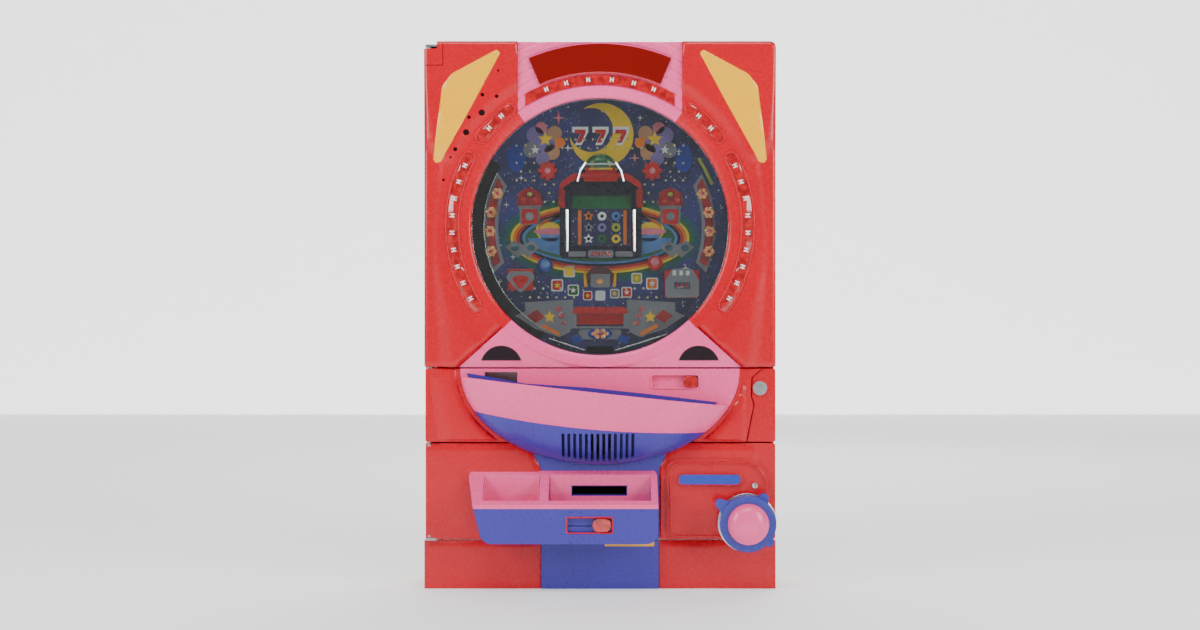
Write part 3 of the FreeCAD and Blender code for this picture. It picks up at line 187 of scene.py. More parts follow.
def shaded(colour, share):
    return tuple(min(1, channel * share) for channel in colour[:3]) + (1,)


def gloss_plastic(name, colour, rough=0.26, coat=0.18, peel=0.015, drift=0.04):
    """Moulded gloss plastic: slight drift of colour, orange peel and scuffed gloss."""
    material, nodes, links, shader = tree_of(name)
    slow = noise(nodes, links, 9, 4)
    tint = ramp(nodes, links, slow.outputs["Fac"],
                [(0.3, shaded(colour, 1 - drift)), (0.7, shaded(colour, 1 + drift))])
    links.new(tint.outputs["Color"], shader.inputs["Base Color"])
    scuffs = noise(nodes, links, 160, 5, 0.6)
    gloss = ramp(nodes, links, scuffs.outputs["Fac"],
                 [(0.35, (rough * 0.85,) * 3 + (1,)), (0.75, (rough * 1.35,) * 3 + (1,))])
    links.new(gloss.outputs["Color"], shader.inputs["Roughness"])
    grain = noise(nodes, links, 900, 2)
    bump(nodes, links, shader, grain.outputs["Fac"], peel, 0.0002)
    shader.inputs["Coat Weight"].default_value = coat
    shader.inputs["Coat Roughness"].default_value = 0.08
    shader.inputs["Specular IOR Level"].default_value = 0.32
    return material


def matt_plastic(name, colour, rough=0.6, grain_scale=1400, strength=0.35):
    """Spark-eroded structural plastic with a fine even texture."""
    material, nodes, links, shader = tree_of(name)
    slow = noise(nodes, links, 14, 4)
    tint = ramp(nodes, links, slow.outputs["Fac"],
                [(0.3, shaded(colour, 0.85)), (0.7, shaded(colour, 1.15))])
    links.new(tint.outputs["Color"], shader.inputs["Base Color"])
    shader.inputs["Roughness"].default_value = rough
    grain = noise(nodes, links, grain_scale, 2)
    bump(nodes, links, shader, grain.outputs["Fac"], strength, 0.0003)
    return material


def metal(name, colour, rough=0.25, stretch=(1, 1, 1), strength=0.1):
    """Plated or polished metal, with brush lines along the short axis of stretch."""
    material, nodes, links, shader = tree_of(name)
    shader.inputs["Metallic"].default_value = 1
    lines = noise(nodes, links, 300, 5, 0.6, stretch)
    gloss = ramp(nodes, links, lines.outputs["Fac"],
                 [(0.3, (rough * 0.7,) * 3 + (1,)), (0.7, (rough * 1.4,) * 3 + (1,))])
    links.new(gloss.outputs["Color"], shader.inputs["Roughness"])
    slow = noise(nodes, links, 30, 3)
    tint = ramp(nodes, links, slow.outputs["Fac"],
                [(0.3, shaded(colour, 0.9)), (0.7, shaded(colour, 1.05))])
    links.new(tint.outputs["Color"], shader.inputs["Base Color"])
    bump(nodes, links, shader, lines.outputs["Fac"], strength, 0.0001)
    return material


# %% The moulded plastics
FINISH = {}
FINISH["red_panel"] = gloss_plastic("red_gloss", srgb(192, 2, 28))
FINISH["violet_panel"] = gloss_plastic("violet_gloss", srgb(58, 50, 150), rough=0.3, coat=0.2)
FINISH["pink_panel"] = gloss_plastic("pink_gloss", srgb(240, 84, 144), rough=0.25)
FINISH["dark_red_plate"] = gloss_plastic("dark_red_gloss", srgb(118, 4, 3), rough=0.12, coat=0.6)
FINISH["yellow_lens"] = gloss_plastic("yellow_lens", srgb(244, 176, 0), rough=0.25, coat=0.15)
FINISH["dark_window"] = gloss_plastic("smoked_window", srgb(34, 22, 30), rough=0.1, coat=0.7)
FINISH["black_plastic"] = matt_plastic("black_moulding", srgb(34, 34, 37))
FINISH["white_plastic"] = matt_plastic("white_moulding", srgb(214, 213, 205), rough=0.45)
FINISH["blue_dial"] = gloss_plastic("blue_dial", srgb(52, 58, 150), rough=0.25)
FINISH["zinc_steel"] = metal("zinc_plate", srgb(176, 178, 182), 0.34, (1, 1, 0.1))
FINISH["rail_steel"] = metal("polished_strip", srgb(214, 216, 220), 0.16)
FINISH["nail_brass"] = metal("nail_brass", srgb(226, 190, 96), 0.2)
print("finishes", len(FINISH))

# %% [markdown]
# ## Wood, glass, lenses and print
# The outer frame is sanded plywood with the grain along each board. Lamp covers are deep red
# and glossy, with the lamps showing as paler shapes. The playfield is a laminated print of a
# night sky, so its stars are made in the material itself.

# %% Plywood with the grain along one axis
def plywood(name, stretch):
    material, nodes, links, shader = tree_of(name)
    grain = noise(nodes, links, 60, 8, 0.6, stretch)
    tint = ramp(nodes, links, grain.outputs["Fac"],
                [(0.3, srgb(168, 122, 74)), (0.55, srgb(205, 164, 110)), (0.75, srgb(222, 186, 134))])
    links.new(tint.outputs["Color"], shader.inputs["Base Color"])
    shader.inputs["Roughness"].default_value = 0.55
    bump(nodes, links, shader, grain.outputs["Fac"], 0.25, 0.0004)
    return material


FINISH["frame_wood"] = plywood("plywood_upright", (3, 3, 0.12))
FINISH["wood_cross"] = plywood("plywood_cross", (0.12, 3, 3))


# %% Glass, clear plastic and lamp covers
def clear(name, colour, rough, weight, alpha=1.0):
    material, nodes, links, shader = tree_of(name)
    smears = noise(nodes, links, 25, 4)
    gloss = ramp(nodes, links, smears.outputs["Fac"],
                 [(0.4, (rough,) * 3 + (1,)), (0.8, (rough * 1.5,) * 3 + (1,))])
    links.new(gloss.outputs["Color"], shader.inputs["Roughness"])
    shader.inputs["Base Color"].default_value = colour
    shader.inputs["Transmission Weight"].default_value = weight
    shader.inputs["Alpha"].default_value = alpha
    shader.inputs["IOR"].default_value = 1.45
    return material


FINISH["pane_glass"] = clear("pane_glass", (0.98, 1, 0.99, 1), 0.0, 1.0)
FINISH["clear_plastic"] = clear("clear_moulding", srgb(206, 214, 220), 0.12, 0.8)


def lamp_cover(name, deep, pale, scale, stretch):
    """A coloured cover with fine pressed ribs on its inside."""
    material, nodes, links, shader = tree_of(name)
    ribs = noise(nodes, links, scale, 2, 0.5, stretch)
    tint = ramp(nodes, links, ribs.outputs["Fac"], [(0.35, deep), (0.65, pale)])
    links.new(tint.outputs["Color"], shader.inputs["Base Color"])
    shader.inputs["Roughness"].default_value = 0.12
    shader.inputs["Coat Weight"].default_value = 0.8
    bump(nodes, links, shader, ribs.outputs["Fac"], 0.2, 0.0004)
    return material


FINISH["red_lens"] = lamp_cover("red_lamp_cover", srgb(140, 8, 14), srgb(196, 16, 24), 120, (1, 1, 1))
FINISH["bulb"] = lamp_cover("lamp_bulb", srgb(238, 190, 198), srgb(255, 240, 240), 260, (1, 1, 1))
FINISH["orange_lamp"] = lamp_cover("orange_lamp", srgb(240, 120, 10), srgb(255, 170, 50), 200, (1, 1, 1))


# %% A printed night sky
def night_sky(name, deep, pale):
    material, nodes, links, shader = tree_of(name)
    cloud = noise(nodes, links, 11, 6, 0.6)
    sky = ramp(nodes, links, cloud.outputs["Fac"], [(0.32, deep), (0.55, pale), (0.74, shaded(pale, 1.5))])
    place = nodes.new("ShaderNodeTexCoord")
    layers = sky.outputs["Color"]
    for scale, reach, colour in ((95, 0.10, (1, 1, 1, 1)), (210, 0.13, (0.75, 0.8, 1, 1))):
        cells = nodes.new("ShaderNodeTexVoronoi")
        cells.inputs["Scale"].default_value = scale
        links.new(place.outputs["Object"], cells.inputs["Vector"])
        dots = ramp(nodes, links, cells.outputs["Distance"],
                    [(reach * 0.6, (1, 1, 1, 1)), (reach, (0, 0, 0, 1))])
        mix = nodes.new("ShaderNodeMix")
        mix.data_type = "RGBA"
        links.new(dots.outputs["Color"], mix.inputs["Factor"])
        links.new(layers, mix.inputs["A"])
        mix.inputs["B"].default_value = colour
        layers = mix.outputs["Result"]
    links.new(layers, shader.inputs["Base Color"])
    shader.inputs["Roughness"].default_value = 0.3
    shader.inputs["Coat Weight"].default_value = 0.4
    return material


FINISH["field_print"] = night_sky("night_sky_print", srgb(24, 24, 74), srgb(46, 50, 126))
FINISH["screen_print"] = night_sky("screen_sky_print", srgb(14, 14, 40), srgb(40, 34, 92))
FINISH["field_trim"] = gloss_plastic("red_trim", srgb(200, 22, 26), rough=0.18)
FINISH["screen"] = FINISH["dark_window"]
print("finishes", len(FINISH))

# %% [markdown]
# ## Dressing the CAD bodies
# Each CAD piece already knows the name of its finish, so a loop gives every slot its material.
# A piece that keeps its CAD shape still needs its sharp machined edges softened: a copy is
# welded, its flat faces merged, and a small bevel is put on every sharp edge.

# %% Give every slot its finish
SLOT_OF = {}
for name, node in frame["nodes"].items():
    SLOT_OF[name] = node.data.materials[0].name.split(".")[0]
    node.data.materials[0] = FINISH[SLOT_OF[name]]
frame["nodes"]["frame_cross_boards"].data.materials[0] = FINISH["wood_cross"]


# %% Soften a CAD piece
NODE_BODY = {}
for body, node_names in frame["record"]["behaviour"]["bodies"].items():
    for node_name in node_names:
        NODE_BODY[node_name] = body


def soften(node_name, width=0.8, steps=2, sharp=30, finish=None, new_name=None):
    """A welded and bevelled copy that stands for a CAD piece."""
    source = frame["nodes"][node_name]
    shape = bmesh.new()
    shape.from_mesh(source.data)
    bmesh.ops.remove_doubles(shape, verts=shape.verts, dist=1e-5)
    bmesh.ops.dissolve_limit(shape, angle_limit=math.radians(0.5), verts=shape.verts,
                             edges=shape.edges, delimit={"MATERIAL"})
    for face in shape.faces:
        face.smooth = True
    data = bpy.data.meshes.new(new_name or node_name + "_soft")
    shape.to_mesh(data)
    shape.free()
    data.materials.clear()
    data.materials.append(FINISH[finish] if finish else source.data.materials[0])
    data.set_sharp_from_angle(angle=math.radians(sharp))
    thing = bpy.data.objects.new(data.name, data)
    bpy.context.scene.collection.objects.link(thing)
    edges = thing.modifiers.new("edges", "BEVEL")
    edges.limit_method = "ANGLE"
    edges.angle_limit = math.radians(sharp)
    edges.width = width * MM
    edges.segments = steps
    edges.harden_normals = True
    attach(thing, NODE_BODY[node_name])
    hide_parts(node_name)
    return thing


# %% Soften the pieces that keep their CAD shape
PLAIN = ("frame_side_boards", "frame_cross_boards", "skirt_cover", "skirt_centre_panel",
         "frame_fittings", "main_frame_moulding", "main_hinge_leaves", "lower_panel", "neck_panel",
         "handle_base", "lock_side_panel", "lock_case", "glass_door_frame",
         "tray_side_panels", "tray_door_panel", "speaker_unit", "launch_unit", "launcher_hammer",
         "lock_bar", "lock_plug", "rear_mechanism_frame", "payout_wheel",
         "skirt_label", "attacker_door", "start_wing_left", "start_wing_right",
         "side_pockets", "handle_dial")
for name in PLAIN:
    soften(name)
print("softened", len(PLAIN))

# %% [markdown]
# ## Shaping tools
# The front is injection-moulded plastic, so its shapes are plates with a soft rim and a
# gently bulging face. One helper cuts such a plate from its outline: the face is inset near
# the rim, sliced into a grid, and every point is moved to the height that a small rule gives.
# Others sweep a section round the window, turn one on a lathe, or lay a bead along a path.
# Shapes are drawn in millimetres, x to the right and z up, and y is negative to the front.

# %% Outlines seen from the front
WINDOW_Z = 535.5


def clock(radius, degrees):
    """Point at an angle clockwise from the top of the window."""
    turn = math.radians(degrees)
    return (radius * math.sin(turn), WINDOW_Z + radius * math.cos(turn))


def arc(radius, start, end, step=3.0):
    count = max(2, math.ceil(abs(end - start) / step))
    return [clock(radius, start + (end - start) * i / count) for i in range(count + 1)]


def circle(x, z, radius, count=24):
    return [(x + radius * math.cos(math.tau * i / count), z + radius * math.sin(math.tau * i / count))
            for i in range(count)]


def rounded(points, steps=5):
    """Outline through points (x, z), or (x, z, radius) where a corner is rounded."""
    outline = []
    for i, point in enumerate(points):
        here = Vector(point[:2])
        if len(point) == 2:
            outline.append(tuple(here))
            continue
        before = Vector(points[i - 1][:2]) - here
        after = Vector(points[(i + 1) % len(points)][:2]) - here
        reach = point[2] / math.tan(before.angle(after) / 2)
        start = here + before.normalized() * min(reach, before.length * 0.48)
        end = here + after.normalized() * min(reach, after.length * 0.48)
        for j in range(steps + 1):
            t = j / steps
            outline.append(tuple(start * (1 - t) ** 2 + here * 2 * t * (1 - t) + end * t ** 2))
    return outline


def mirrored(outline):
    return [(-x, z) for x, z in reversed(outline)]


def smooth(value, low, high):
    share = max(0.0, min(1.0, (value - low) / (high - low)))
    return share * share * (3 - 2 * share)


# %% A moulded plate with a soft rim
def rim_distance(loop):
    """Rule that gives how far a point lies from a path."""
    starts = [Vector(point) for point in loop[:-1]]
    runs = [Vector(b) - Vector(a) for a, b in zip(loop, loop[1:])]
    sizes = [max(run.length_squared, 1e-9) for run in runs]

    def distance(x, z):
        here = Vector((x, z))
        best = 1e12
        for start, run, size in zip(starts, runs, sizes):
            away = here - start
            along = max(0.0, min(1.0, away.dot(run) / size))
            best = min(best, (away - run * along).length_squared)
        return math.sqrt(best)
    return distance


def plate(outline, back, front, edge=3.0, grid=None, rims=None):
    """Closed plate: front is a number or a rule of (x, z). Its rim is rounded by edge, or only
    along the paths in rims, each with its own radius."""
    rims = rims or [(outline + outline[:1], edge)]
    edge = max(radius for path, radius in rims)
    level = front if callable(front) else (lambda x, z: front)
    shape = bmesh.new()
    corners = [shape.verts.new((x, 0, z)) for x, z in outline]
    face = shape.faces.new(corners)
    for share in (0.13, 0.37, 0.5):
        bmesh.ops.inset_region(shape, faces=[face], thickness=edge * share, use_even_offset=True)
    if grid:
        for axis in (0, 2):
            values = [point[axis // 2] for point in outline]
            cut = math.ceil(min(values) / grid) * grid
            while cut < max(values):
                place = Vector((0, 0, 0))
                place[axis] = cut
                normal = Vector((0, 0, 0))
                normal[axis] = 1
                bmesh.ops.bisect_plane(shape, geom=shape.verts[:] + shape.edges[:] + shape.faces[:],
                                       dist=1e-4, plane_co=place, plane_no=normal)
                cut += grid
    rules = [(rim_distance(path), radius) for path, radius in rims]
    for vert in shape.verts:
        drop = 0.0
        for distance, radius in rules:
            inward = 1 - min(distance(vert.co.x, vert.co.z) / radius, 1)
            drop = max(drop, radius * (1 - math.sqrt(max(0.0, 1 - inward * inward))))
        vert.co.y = min(level(vert.co.x, vert.co.z) + drop, back - 0.2)
    border = [rim for rim in shape.edges if rim.is_boundary]
    grown = bmesh.ops.extrude_edge_only(shape, edges=border)["geom"]
    for part in grown:
        if isinstance(part, bmesh.types.BMVert):
            part.co.y = back
    last = [rim for rim in shape.edges if rim.is_boundary]
    bmesh.ops.edgeloop_fill(shape, edges=last)
    bmesh.ops.recalc_face_normals(shape, faces=shape.faces)
    return shape


# %% Sweeps, lathe work and beads
def ring(profile, start, end, step=3.0):
    """Closed section of (radius, y) points swept round the window between two clock angles."""
    shape = bmesh.new()
    corners = []
    for radius, y in profile:
        x, z = clock(radius, start)
        corners.append(shape.verts.new((x, y, z)))
    face = shape.faces.new(corners)
    count = max(2, math.ceil(abs(end - start) / step))
    bmesh.ops.spin(shape, geom=[face] + face.edges[:] + face.verts[:], cent=(0, 0, WINDOW_Z),
                   axis=(0, 1, 0), angle=math.radians(end - start), steps=count)
    bmesh.ops.recalc_face_normals(shape, faces=shape.faces)
    return shape


def lathe(profile, x, z, steps=40):
    """Section of (radius, y) points turned once round a front-to-back axis through (x, z)."""
    shape = bmesh.new()
    points = [shape.verts.new((x + radius, y, z)) for radius, y in profile]
    edges = [shape.edges.new(pair) for pair in zip(points, points[1:])]
    bmesh.ops.spin(shape, geom=points + edges, cent=(x, 0, z), axis=(0, 1, 0),
                   angle=math.tau, steps=steps, use_merge=True)
    bmesh.ops.remove_doubles(shape, verts=shape.verts, dist=1e-3)
    bmesh.ops.recalc_face_normals(shape, faces=shape.faces)
    return shape


def bead(path, radius, closed=False, resolution=2):
    """Round bead along a path of (x, y, z) points."""
    curve = bpy.data.curves.new("bead", "CURVE")
    curve.dimensions = "3D"
    curve.bevel_depth = radius
    curve.bevel_resolution = resolution
    curve.use_fill_caps = True
    spline = curve.splines.new("POLY")
    spline.points.add(len(path) - 1)
    for point, place in zip(spline.points, path):
        point.co = (*place, 1)
    spline.use_cyclic_u = closed
    thing = bpy.data.objects.new("bead", curve)
    bpy.context.scene.collection.objects.link(thing)
    view = bpy.context.evaluated_depsgraph_get()
    data = bpy.data.meshes.new_from_object(thing.evaluated_get(view))
    shape = bmesh.new()
    shape.from_mesh(data)
    bmesh.ops.remove_doubles(shape, verts=shape.verts, dist=1e-4)
    bpy.data.objects.remove(thing)
    bpy.data.curves.remove(curve)
    bpy.data.meshes.remove(data)
    return shape


def block(x0, x1, y0, y1, z0, z1, round_by=0.0):
    shape = bmesh.new()
    size = Matrix.Diagonal((x1 - x0, y1 - y0, z1 - z0, 1))
    middle = Matrix.Translation(((x0 + x1) / 2, (y0 + y1) / 2, (z0 + z1) / 2))
    bmesh.ops.create_cube(shape, size=1, matrix=middle @ size)
    if round_by:
        bmesh.ops.bevel(shape, geom=shape.edges[:], offset=round_by, segments=2, profile=0.5,
                        affect="EDGES", material=-1)
    return shape


def ball(x, y, z, half, steps=16):
    """Ellipsoid with half sizes (x, y, z)."""
    shape = bmesh.new()
    bmesh.ops.create_uvsphere(shape, u_segments=steps, v_segments=steps // 2, radius=1,
                              matrix=Matrix.Translation((x, y, z)) @ Matrix.Diagonal((*half, 1)))
    return shape


def turned(shape, degrees, x, z):
    """Turns a shape clockwise, seen from the front, about (x, z)."""
    bmesh.ops.rotate(shape, verts=shape.verts, cent=(x, 0, z),
                     matrix=Matrix.Rotation(math.radians(degrees), 3, "Y"))
    return shape


def merge(*shapes):
    whole = bmesh.new()
    for shape in shapes:
        part = bpy.data.meshes.new("part")
        shape.to_mesh(part)
        shape.free()
        whole.from_mesh(part)
        bpy.data.meshes.remove(part)
    return whole


def trim(shape, place, normal):
    """Cuts away what lies beyond a plane and closes the cut."""
    cut = bmesh.ops.bisect_plane(shape, geom=shape.verts[:] + shape.edges[:] + shape.faces[:],
                                 dist=1e-4, plane_co=place, plane_no=normal, clear_outer=True)
    rim = [part for part in cut["geom_cut"] if isinstance(part, bmesh.types.BMEdge)]
    bmesh.ops.holes_fill(shape, edges=rim, sides=0)
    return shape


# %% Cutting shapes out of a shape, and finishing a piece
def carve(shape, *cutters):
    """Takes other closed shapes away from a closed shape."""
    view_things = []
    for part in (shape, *cutters):
        data = bpy.data.meshes.new("carving")
        part.to_mesh(data)
        part.free()
        thing = bpy.data.objects.new("carving", data)
        bpy.context.scene.collection.objects.link(thing)
        view_things.append(thing)
    for cutter in view_things[1:]:
        step = view_things[0].modifiers.new("carve", "BOOLEAN")
        step.operation = "DIFFERENCE"
        step.solver = "EXACT"
        step.object = cutter
    view = bpy.context.evaluated_depsgraph_get()
    done = bmesh.new()
    done.from_mesh(view_things[0].evaluated_get(view).to_mesh())
    for thing in view_things:
        data = thing.data
        bpy.data.objects.remove(thing)
        bpy.data.meshes.remove(data)
    return done


def gather(name, parts, body, nodes=(), crease=35):
    """One finished piece from (shape, finish) pairs drawn in millimetres."""
    data = bpy.data.meshes.new(name)
    for shape, finish in parts:
        material = FINISH[finish]
        if material.name not in data.materials:
            data.materials.append(material)
        for face in shape.faces:
            face.material_index = data.materials.find(material.name)
            face.smooth = True
    whole = merge(*[shape for shape, finish in parts])
    bmesh.ops.scale(whole, vec=(MM, MM, MM), verts=whole.verts)
    whole.to_mesh(data)
    whole.free()
    data.set_sharp_from_angle(angle=math.radians(crease))
    thing = bpy.data.objects.new(name, data)
    bpy.context.scene.collection.objects.link(thing)
    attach(thing, body)
    if nodes:
        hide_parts(*nodes)
    print(name, len(data.polygons), "faces")
    return thing

# %% [markdown]
# ## Cheeks, top band and apron
# The glass door's face is four mouldings round the window. The red cheeks bulge softly between
# the side lamps and a long crease near the outer edge. The pink band on top is pressed into
# puffed ribs that run round the window like ripples. The pink apron below lies a little
# deeper, and the cheeks roll down to it. All four end in one sloping collar at the glass.

# %% The face of a cheek
BAND_X = 121.0
COLLAR_R = 207.0
BAND_ANGLE = math.degrees(math.asin(BAND_X / COLLAR_R))
APRON_ANGLE = 136.0
CREASE = [(327, 234), (450, 245), (530, 246), (629, 236), (660, 262), (900, 300)]


def crease_x(z):
    """How far out the cheek's long crease runs at a height."""
    for (low, x0), (high, x1) in zip(CREASE, CREASE[1:]):
        if z <= high:
            return x0 + (x1 - x0) * max(0.0, (z - low) / (high - low))
    return CREASE[-1][1]


def cheek_front(x, z):
    away = math.hypot(x, z - WINDOW_Z)
    inside = crease_x(z) - abs(x)
    step = smooth(inside, -2, 5)
    bulge = smooth(away, 228, 250) * smooth(inside, 0, 22)
    return -88.6 - 1.4 * step - 4.6 * bulge


print("cheek bulges to", round(min(cheek_front(232, z) for z in range(340, 700, 10)), 1))

# %% The two cheeks
cheek_arc = arc(COLLAR_R, BAND_ANGLE, APRON_ANGLE)
inner_rim = [cheek_arc[-1], (206, 330.5), (208.4, 328)]
outer_rim = rounded([(208.4, 328), (259, 328, 4), (259, 808, 10), (121.4, 808)]) + [(121.4, 703.2)]
right_outline = cheek_arc + inner_rim[1:] + outer_rim[1:-1]
collar = [(189.6, -82.3), (189.6, -84.2), (190.6, -86), (193.5, -87.6), (199, -88.8), (207.2, -90),
          (207.2, -82.3)]
LAMP_LONG = (62.5, 122.5)
LAMP_SHORT = (38.0, 53.0)


def capsule(inner, outer, start, end):
    """Outline of a curved slot with round ends."""
    mean = (inner + outer) / 2
    half = (outer - inner) / 2
    outline = arc(outer, start, end)
    for centre, way in ((end, 1), (start, -1)):
        x, z = clock(mean, centre)
        turn = math.radians(centre)
        out = Vector((math.sin(turn), math.cos(turn))) * way
        side = Vector((math.cos(turn), -math.sin(turn))) * way
        for i in range(1, 6):
            swing = math.pi * i / 6
            point = Vector((x, z)) + (out * math.cos(swing) + side * math.sin(swing)) * half
            outline.append(tuple(point))
        if way == 1:
            outline += arc(inner, end, start)
    return outline


def lamp_rims(side):
    """The raised bead round each lamp on one cheek."""
    beads = []
    for start, end in (LAMP_LONG, LAMP_SHORT):
        path = [(side * x, -90.2, z) for x, z in capsule(208.6, 227.4, start, end)]
        beads.append((bead(path, 1.5, closed=True), "red_panel"))
    return beads


def cheek(side):
    outline = right_outline if side > 0 else mirrored(right_outline)
    rims = [([(side * x, z) for x, z in inner_rim], 7.0), ([(side * x, z) for x, z in outer_rim], 2.2)]
    return plate(outline, -67, cheek_front, grid=4.5, rims=rims)


right_parts = [(cheek(1), "red_panel"), (ring(collar, BAND_ANGLE, APRON_ANGLE + 1), "red_panel")]
gather("cheek_right", right_parts + lamp_rims(1), "glass_door", ["side_panel_right"], 60)

# %% Hinge pockets and service holes in the left cheek
HOLES = [(-149.7, 764.7, 1.5), (-173, 729, 2.6), (-152, 727, 2.6), (-174, 703, 4.6),
         (-192.5, 696, 2.5), (-197, 674, 4.5), (-213, 649, 3), (-220, 637, 1.5), (-230.5, 604, 2)]
pockets = [block(-262, -231, -85.5, -60, 773, 812), block(-262, -231, -85.5, -60, 326, 343.5),
           block(-262, -240, -100, -60, 797, 812), block(-231.5, -230.7, -100, -85.6, 772, 812),
           block(-262, -230.7, -100, -85.6, 772, 772.8)]
drills = [lathe([(0, -110), (radius, -110), (radius, -80), (0, -80)], x, z, 16)
          for x, z, radius in HOLES]
left_cheek = carve(cheek(-1), *pockets, merge(*drills))
plugs = [(lathe([(0, -86.5), (radius - 0.1, -86.5), (radius - 0.1, -80.5), (0, -80.5)], x, z, 16),
          "black_plastic") for x, z, radius in HOLES]
left_collar = ring(collar, -APRON_ANGLE - 1, -BAND_ANGLE)
gather("cheek_left", [(left_cheek, "red_panel"), (left_collar, "red_panel")] + plugs + lamp_rims(-1),
       "glass_door", ["side_panel_left"], 60)

# %% Top band: ribs that ripple round the window
RIB = 16.0


def rib(inner, last=False):
    """One puffed rib, swept round the window and trimmed to the band."""
    section = [(inner, -67.0)]
    for i in range(9):
        share = i / 8
        section.append((inner + RIB * share, -86.4 - 2.6 * math.sin(math.pi * share) ** 0.6))
    section.append((inner + RIB, -67.0))
    shape = ring(section, -38, 38, 2.0)
    for place, normal in (((BAND_X, 0, 0), (1, 0, 0)), ((-BAND_X, 0, 0), (-1, 0, 0)),
                          ((0, 0, 807.6), (0, 0, 1))):
        trim(shape, place, normal)
    return shape


band = [(rib(COLLAR_R + RIB * i), "pink_panel") for i in range(6)]
band.append((ring(collar, -BAND_ANGLE, BAND_ANGLE), "pink_panel"))
gather("top_band_ribbed", band, "glass_door", ["top_band"])

# %% Apron under the window
apron = [(-208, 328), (208, 328)] + arc(COLLAR_R, APRON_ANGLE + 0.2, 360 - APRON_ANGLE - 0.2)
apron_parts = [(plate(apron, -67, lambda x, z: -88 - 1.4 * smooth(z, 326, 350), grid=12,
                      rims=[([(-208, 328), (208, 328)], 1.2)]), "pink_panel"),
               (ring(collar, APRON_ANGLE, 360 - APRON_ANGLE), "pink_panel")]
gather("apron", apron_parts, "glass_door", ["door_apron"])
soften("sensor_windows")

# %% [markdown]
# ## Lamps, title plate and corner lenses
# The lamps lie in shallow grooves under deep red covers. Each bulb is a small pale H, so it is
# built once as three bars and turned to its place. The title plate is left blank. The yellow
# corner lenses follow the bulge of the cheeks.

# %% Lamp covers and bulbs
def lens_front(x, z):
    away = math.hypot(x, z - WINDOW_Z)
    return -92.2 + ((away - 218) / 8) ** 2 * 1.1


def bulb(degrees, radius, scale=1.0):
    bars = [block(-3 * scale, -1.1 * scale, -93.4, -90.5, -3.6 * scale, 3.6 * scale, 0.4),
            block(1.1 * scale, 3 * scale, -93.4, -90.5, -3.6 * scale, 3.6 * scale, 0.4),
            block(-1.6 * scale, 1.6 * scale, -93, -90.5, -1 * scale, 1 * scale)]
    shape = merge(*bars)
    bmesh.ops.translate(shape, verts=shape.verts, vec=(0, 0, WINDOW_Z + radius))
    return turned(shape, degrees, 0, WINDOW_Z)


covers = []
for side in (-1, 1):
    for start, end in (LAMP_LONG, LAMP_SHORT):
        outline = capsule(210.2, 225.8, start, end)
        outline = outline if side > 0 else mirrored(outline)
        covers.append((plate(outline, -86, lens_front, 1.5, 12), "red_lens"))
    covers += [(bulb(side * (65.8 + 6.67 * i), 218), "bulb") for i in range(9)]
    covers += [(bulb(side * angle, 218), "bulb") for angle in (41.8, 48.5)]
top_lens = arc(224, -29.41, 29.41) + arc(209, 31.76, -31.76)
covers.append((plate(top_lens, -86, -91.4, 1.5), "red_lens"))
covers += [(bulb(angle, 216.5, 0.95), "bulb") for angle in (-21.4, -13.3, -4.6, 4.6, 13.3, 21.4)]
gather("lamps", covers, "glass_door", ["lamp_lenses"])

# %% Title plate and corner lenses
title = arc(269, -23, 23) + arc(226.5, 23, -23)
line = [(x, -91.5, z) for x, z in arc(226.8, -23, 23)]
gather("title_plate_blank", [(plate(title, -84, -93.6, 1.6), "dark_red_plate"),
                             (bead(line, 1.0), "red_panel")],
       "glass_door", ["title_plate"])
corner = rounded([(151, 796, 5), (218, 760, 20), (232, 742, 16), (246, 635, 4), (242, 629, 3),
                  (234, 631, 3), (213, 669, 30), (183, 723, 30), (147, 790, 4)])
lenses = [(plate(shape, -84, lambda x, z: cheek_front(x, z) - 2.2, 2.0, 9), "yellow_lens")
          for shape in (corner, mirrored(corner))]
gather("corner_lamps", lenses, "glass_door", ["corner_lenses"])

# %% [markdown]
# ## The playfield
# Behind the glass is a plywood board with a printed sky, rows of nails and moulded
# fittings. Flat art is made as thin film shapes a tenth of a millimetre apart, and the
# fittings as small mouldings on top. The art is plain: a moon, rainbow rings, planets,
# numerals and simple icons.

# %% Colours of the print
INKS = {"ink_moon": (250, 205, 30), "ink_red": (208, 18, 26), "ink_orange": (240, 120, 16),
        "ink_green": (30, 110, 62), "ink_teal": (24, 92, 110), "ink_blue": (30, 60, 170),
        "ink_sky": (84, 130, 200), "ink_lilac": (132, 112, 178), "ink_tan": (196, 140, 104),
        "ink_white": (232, 232, 236), "ink_grey": (128, 128, 140), "ink_navy": (18, 18, 52),
        "ink_brown": (92, 50, 60), "ink_pink": (226, 120, 140), "ink_lime": (170, 180, 60)}
for name, colour in INKS.items():
    FINISH[name] = gloss_plastic(name, srgb(*colour), rough=0.3, coat=0.3, peel=0.03)
FINISH["silver_trim"] = gloss_plastic("silver_trim", srgb(138, 138, 148), rough=0.2, coat=0.5)
FINISH["chrome"] = metal("chrome_trim", srgb(226, 228, 234), 0.1)
FINISH["nail_heads"] = metal("nail_heads", srgb(240, 226, 180), 0.25)
BOARD = -46.5
art = []


def flat(outline, back, front):
    shape = bmesh.new()
    face = shape.faces.new([shape.verts.new((x, front, z)) for x, z in outline])
    grown = bmesh.ops.extrude_face_region(shape, geom=[face])["geom"]
    for part in grown:
        if isinstance(part, bmesh.types.BMVert):
            part.co.y = back
    bmesh.ops.recalc_face_normals(shape, faces=shape.faces)
    return shape


def ink(outline, finish, level=1, holed=False):
    """A patch of print; the ones behind the display are cut to its opening."""
    patch = flat(outline, BOARD + 0.2, BOARD - 0.12 * level)
    if holed:
        patch = carve(patch, block(-43, 46.4, -60, -40, 507.6, 584.4))
    art.append((patch, finish))


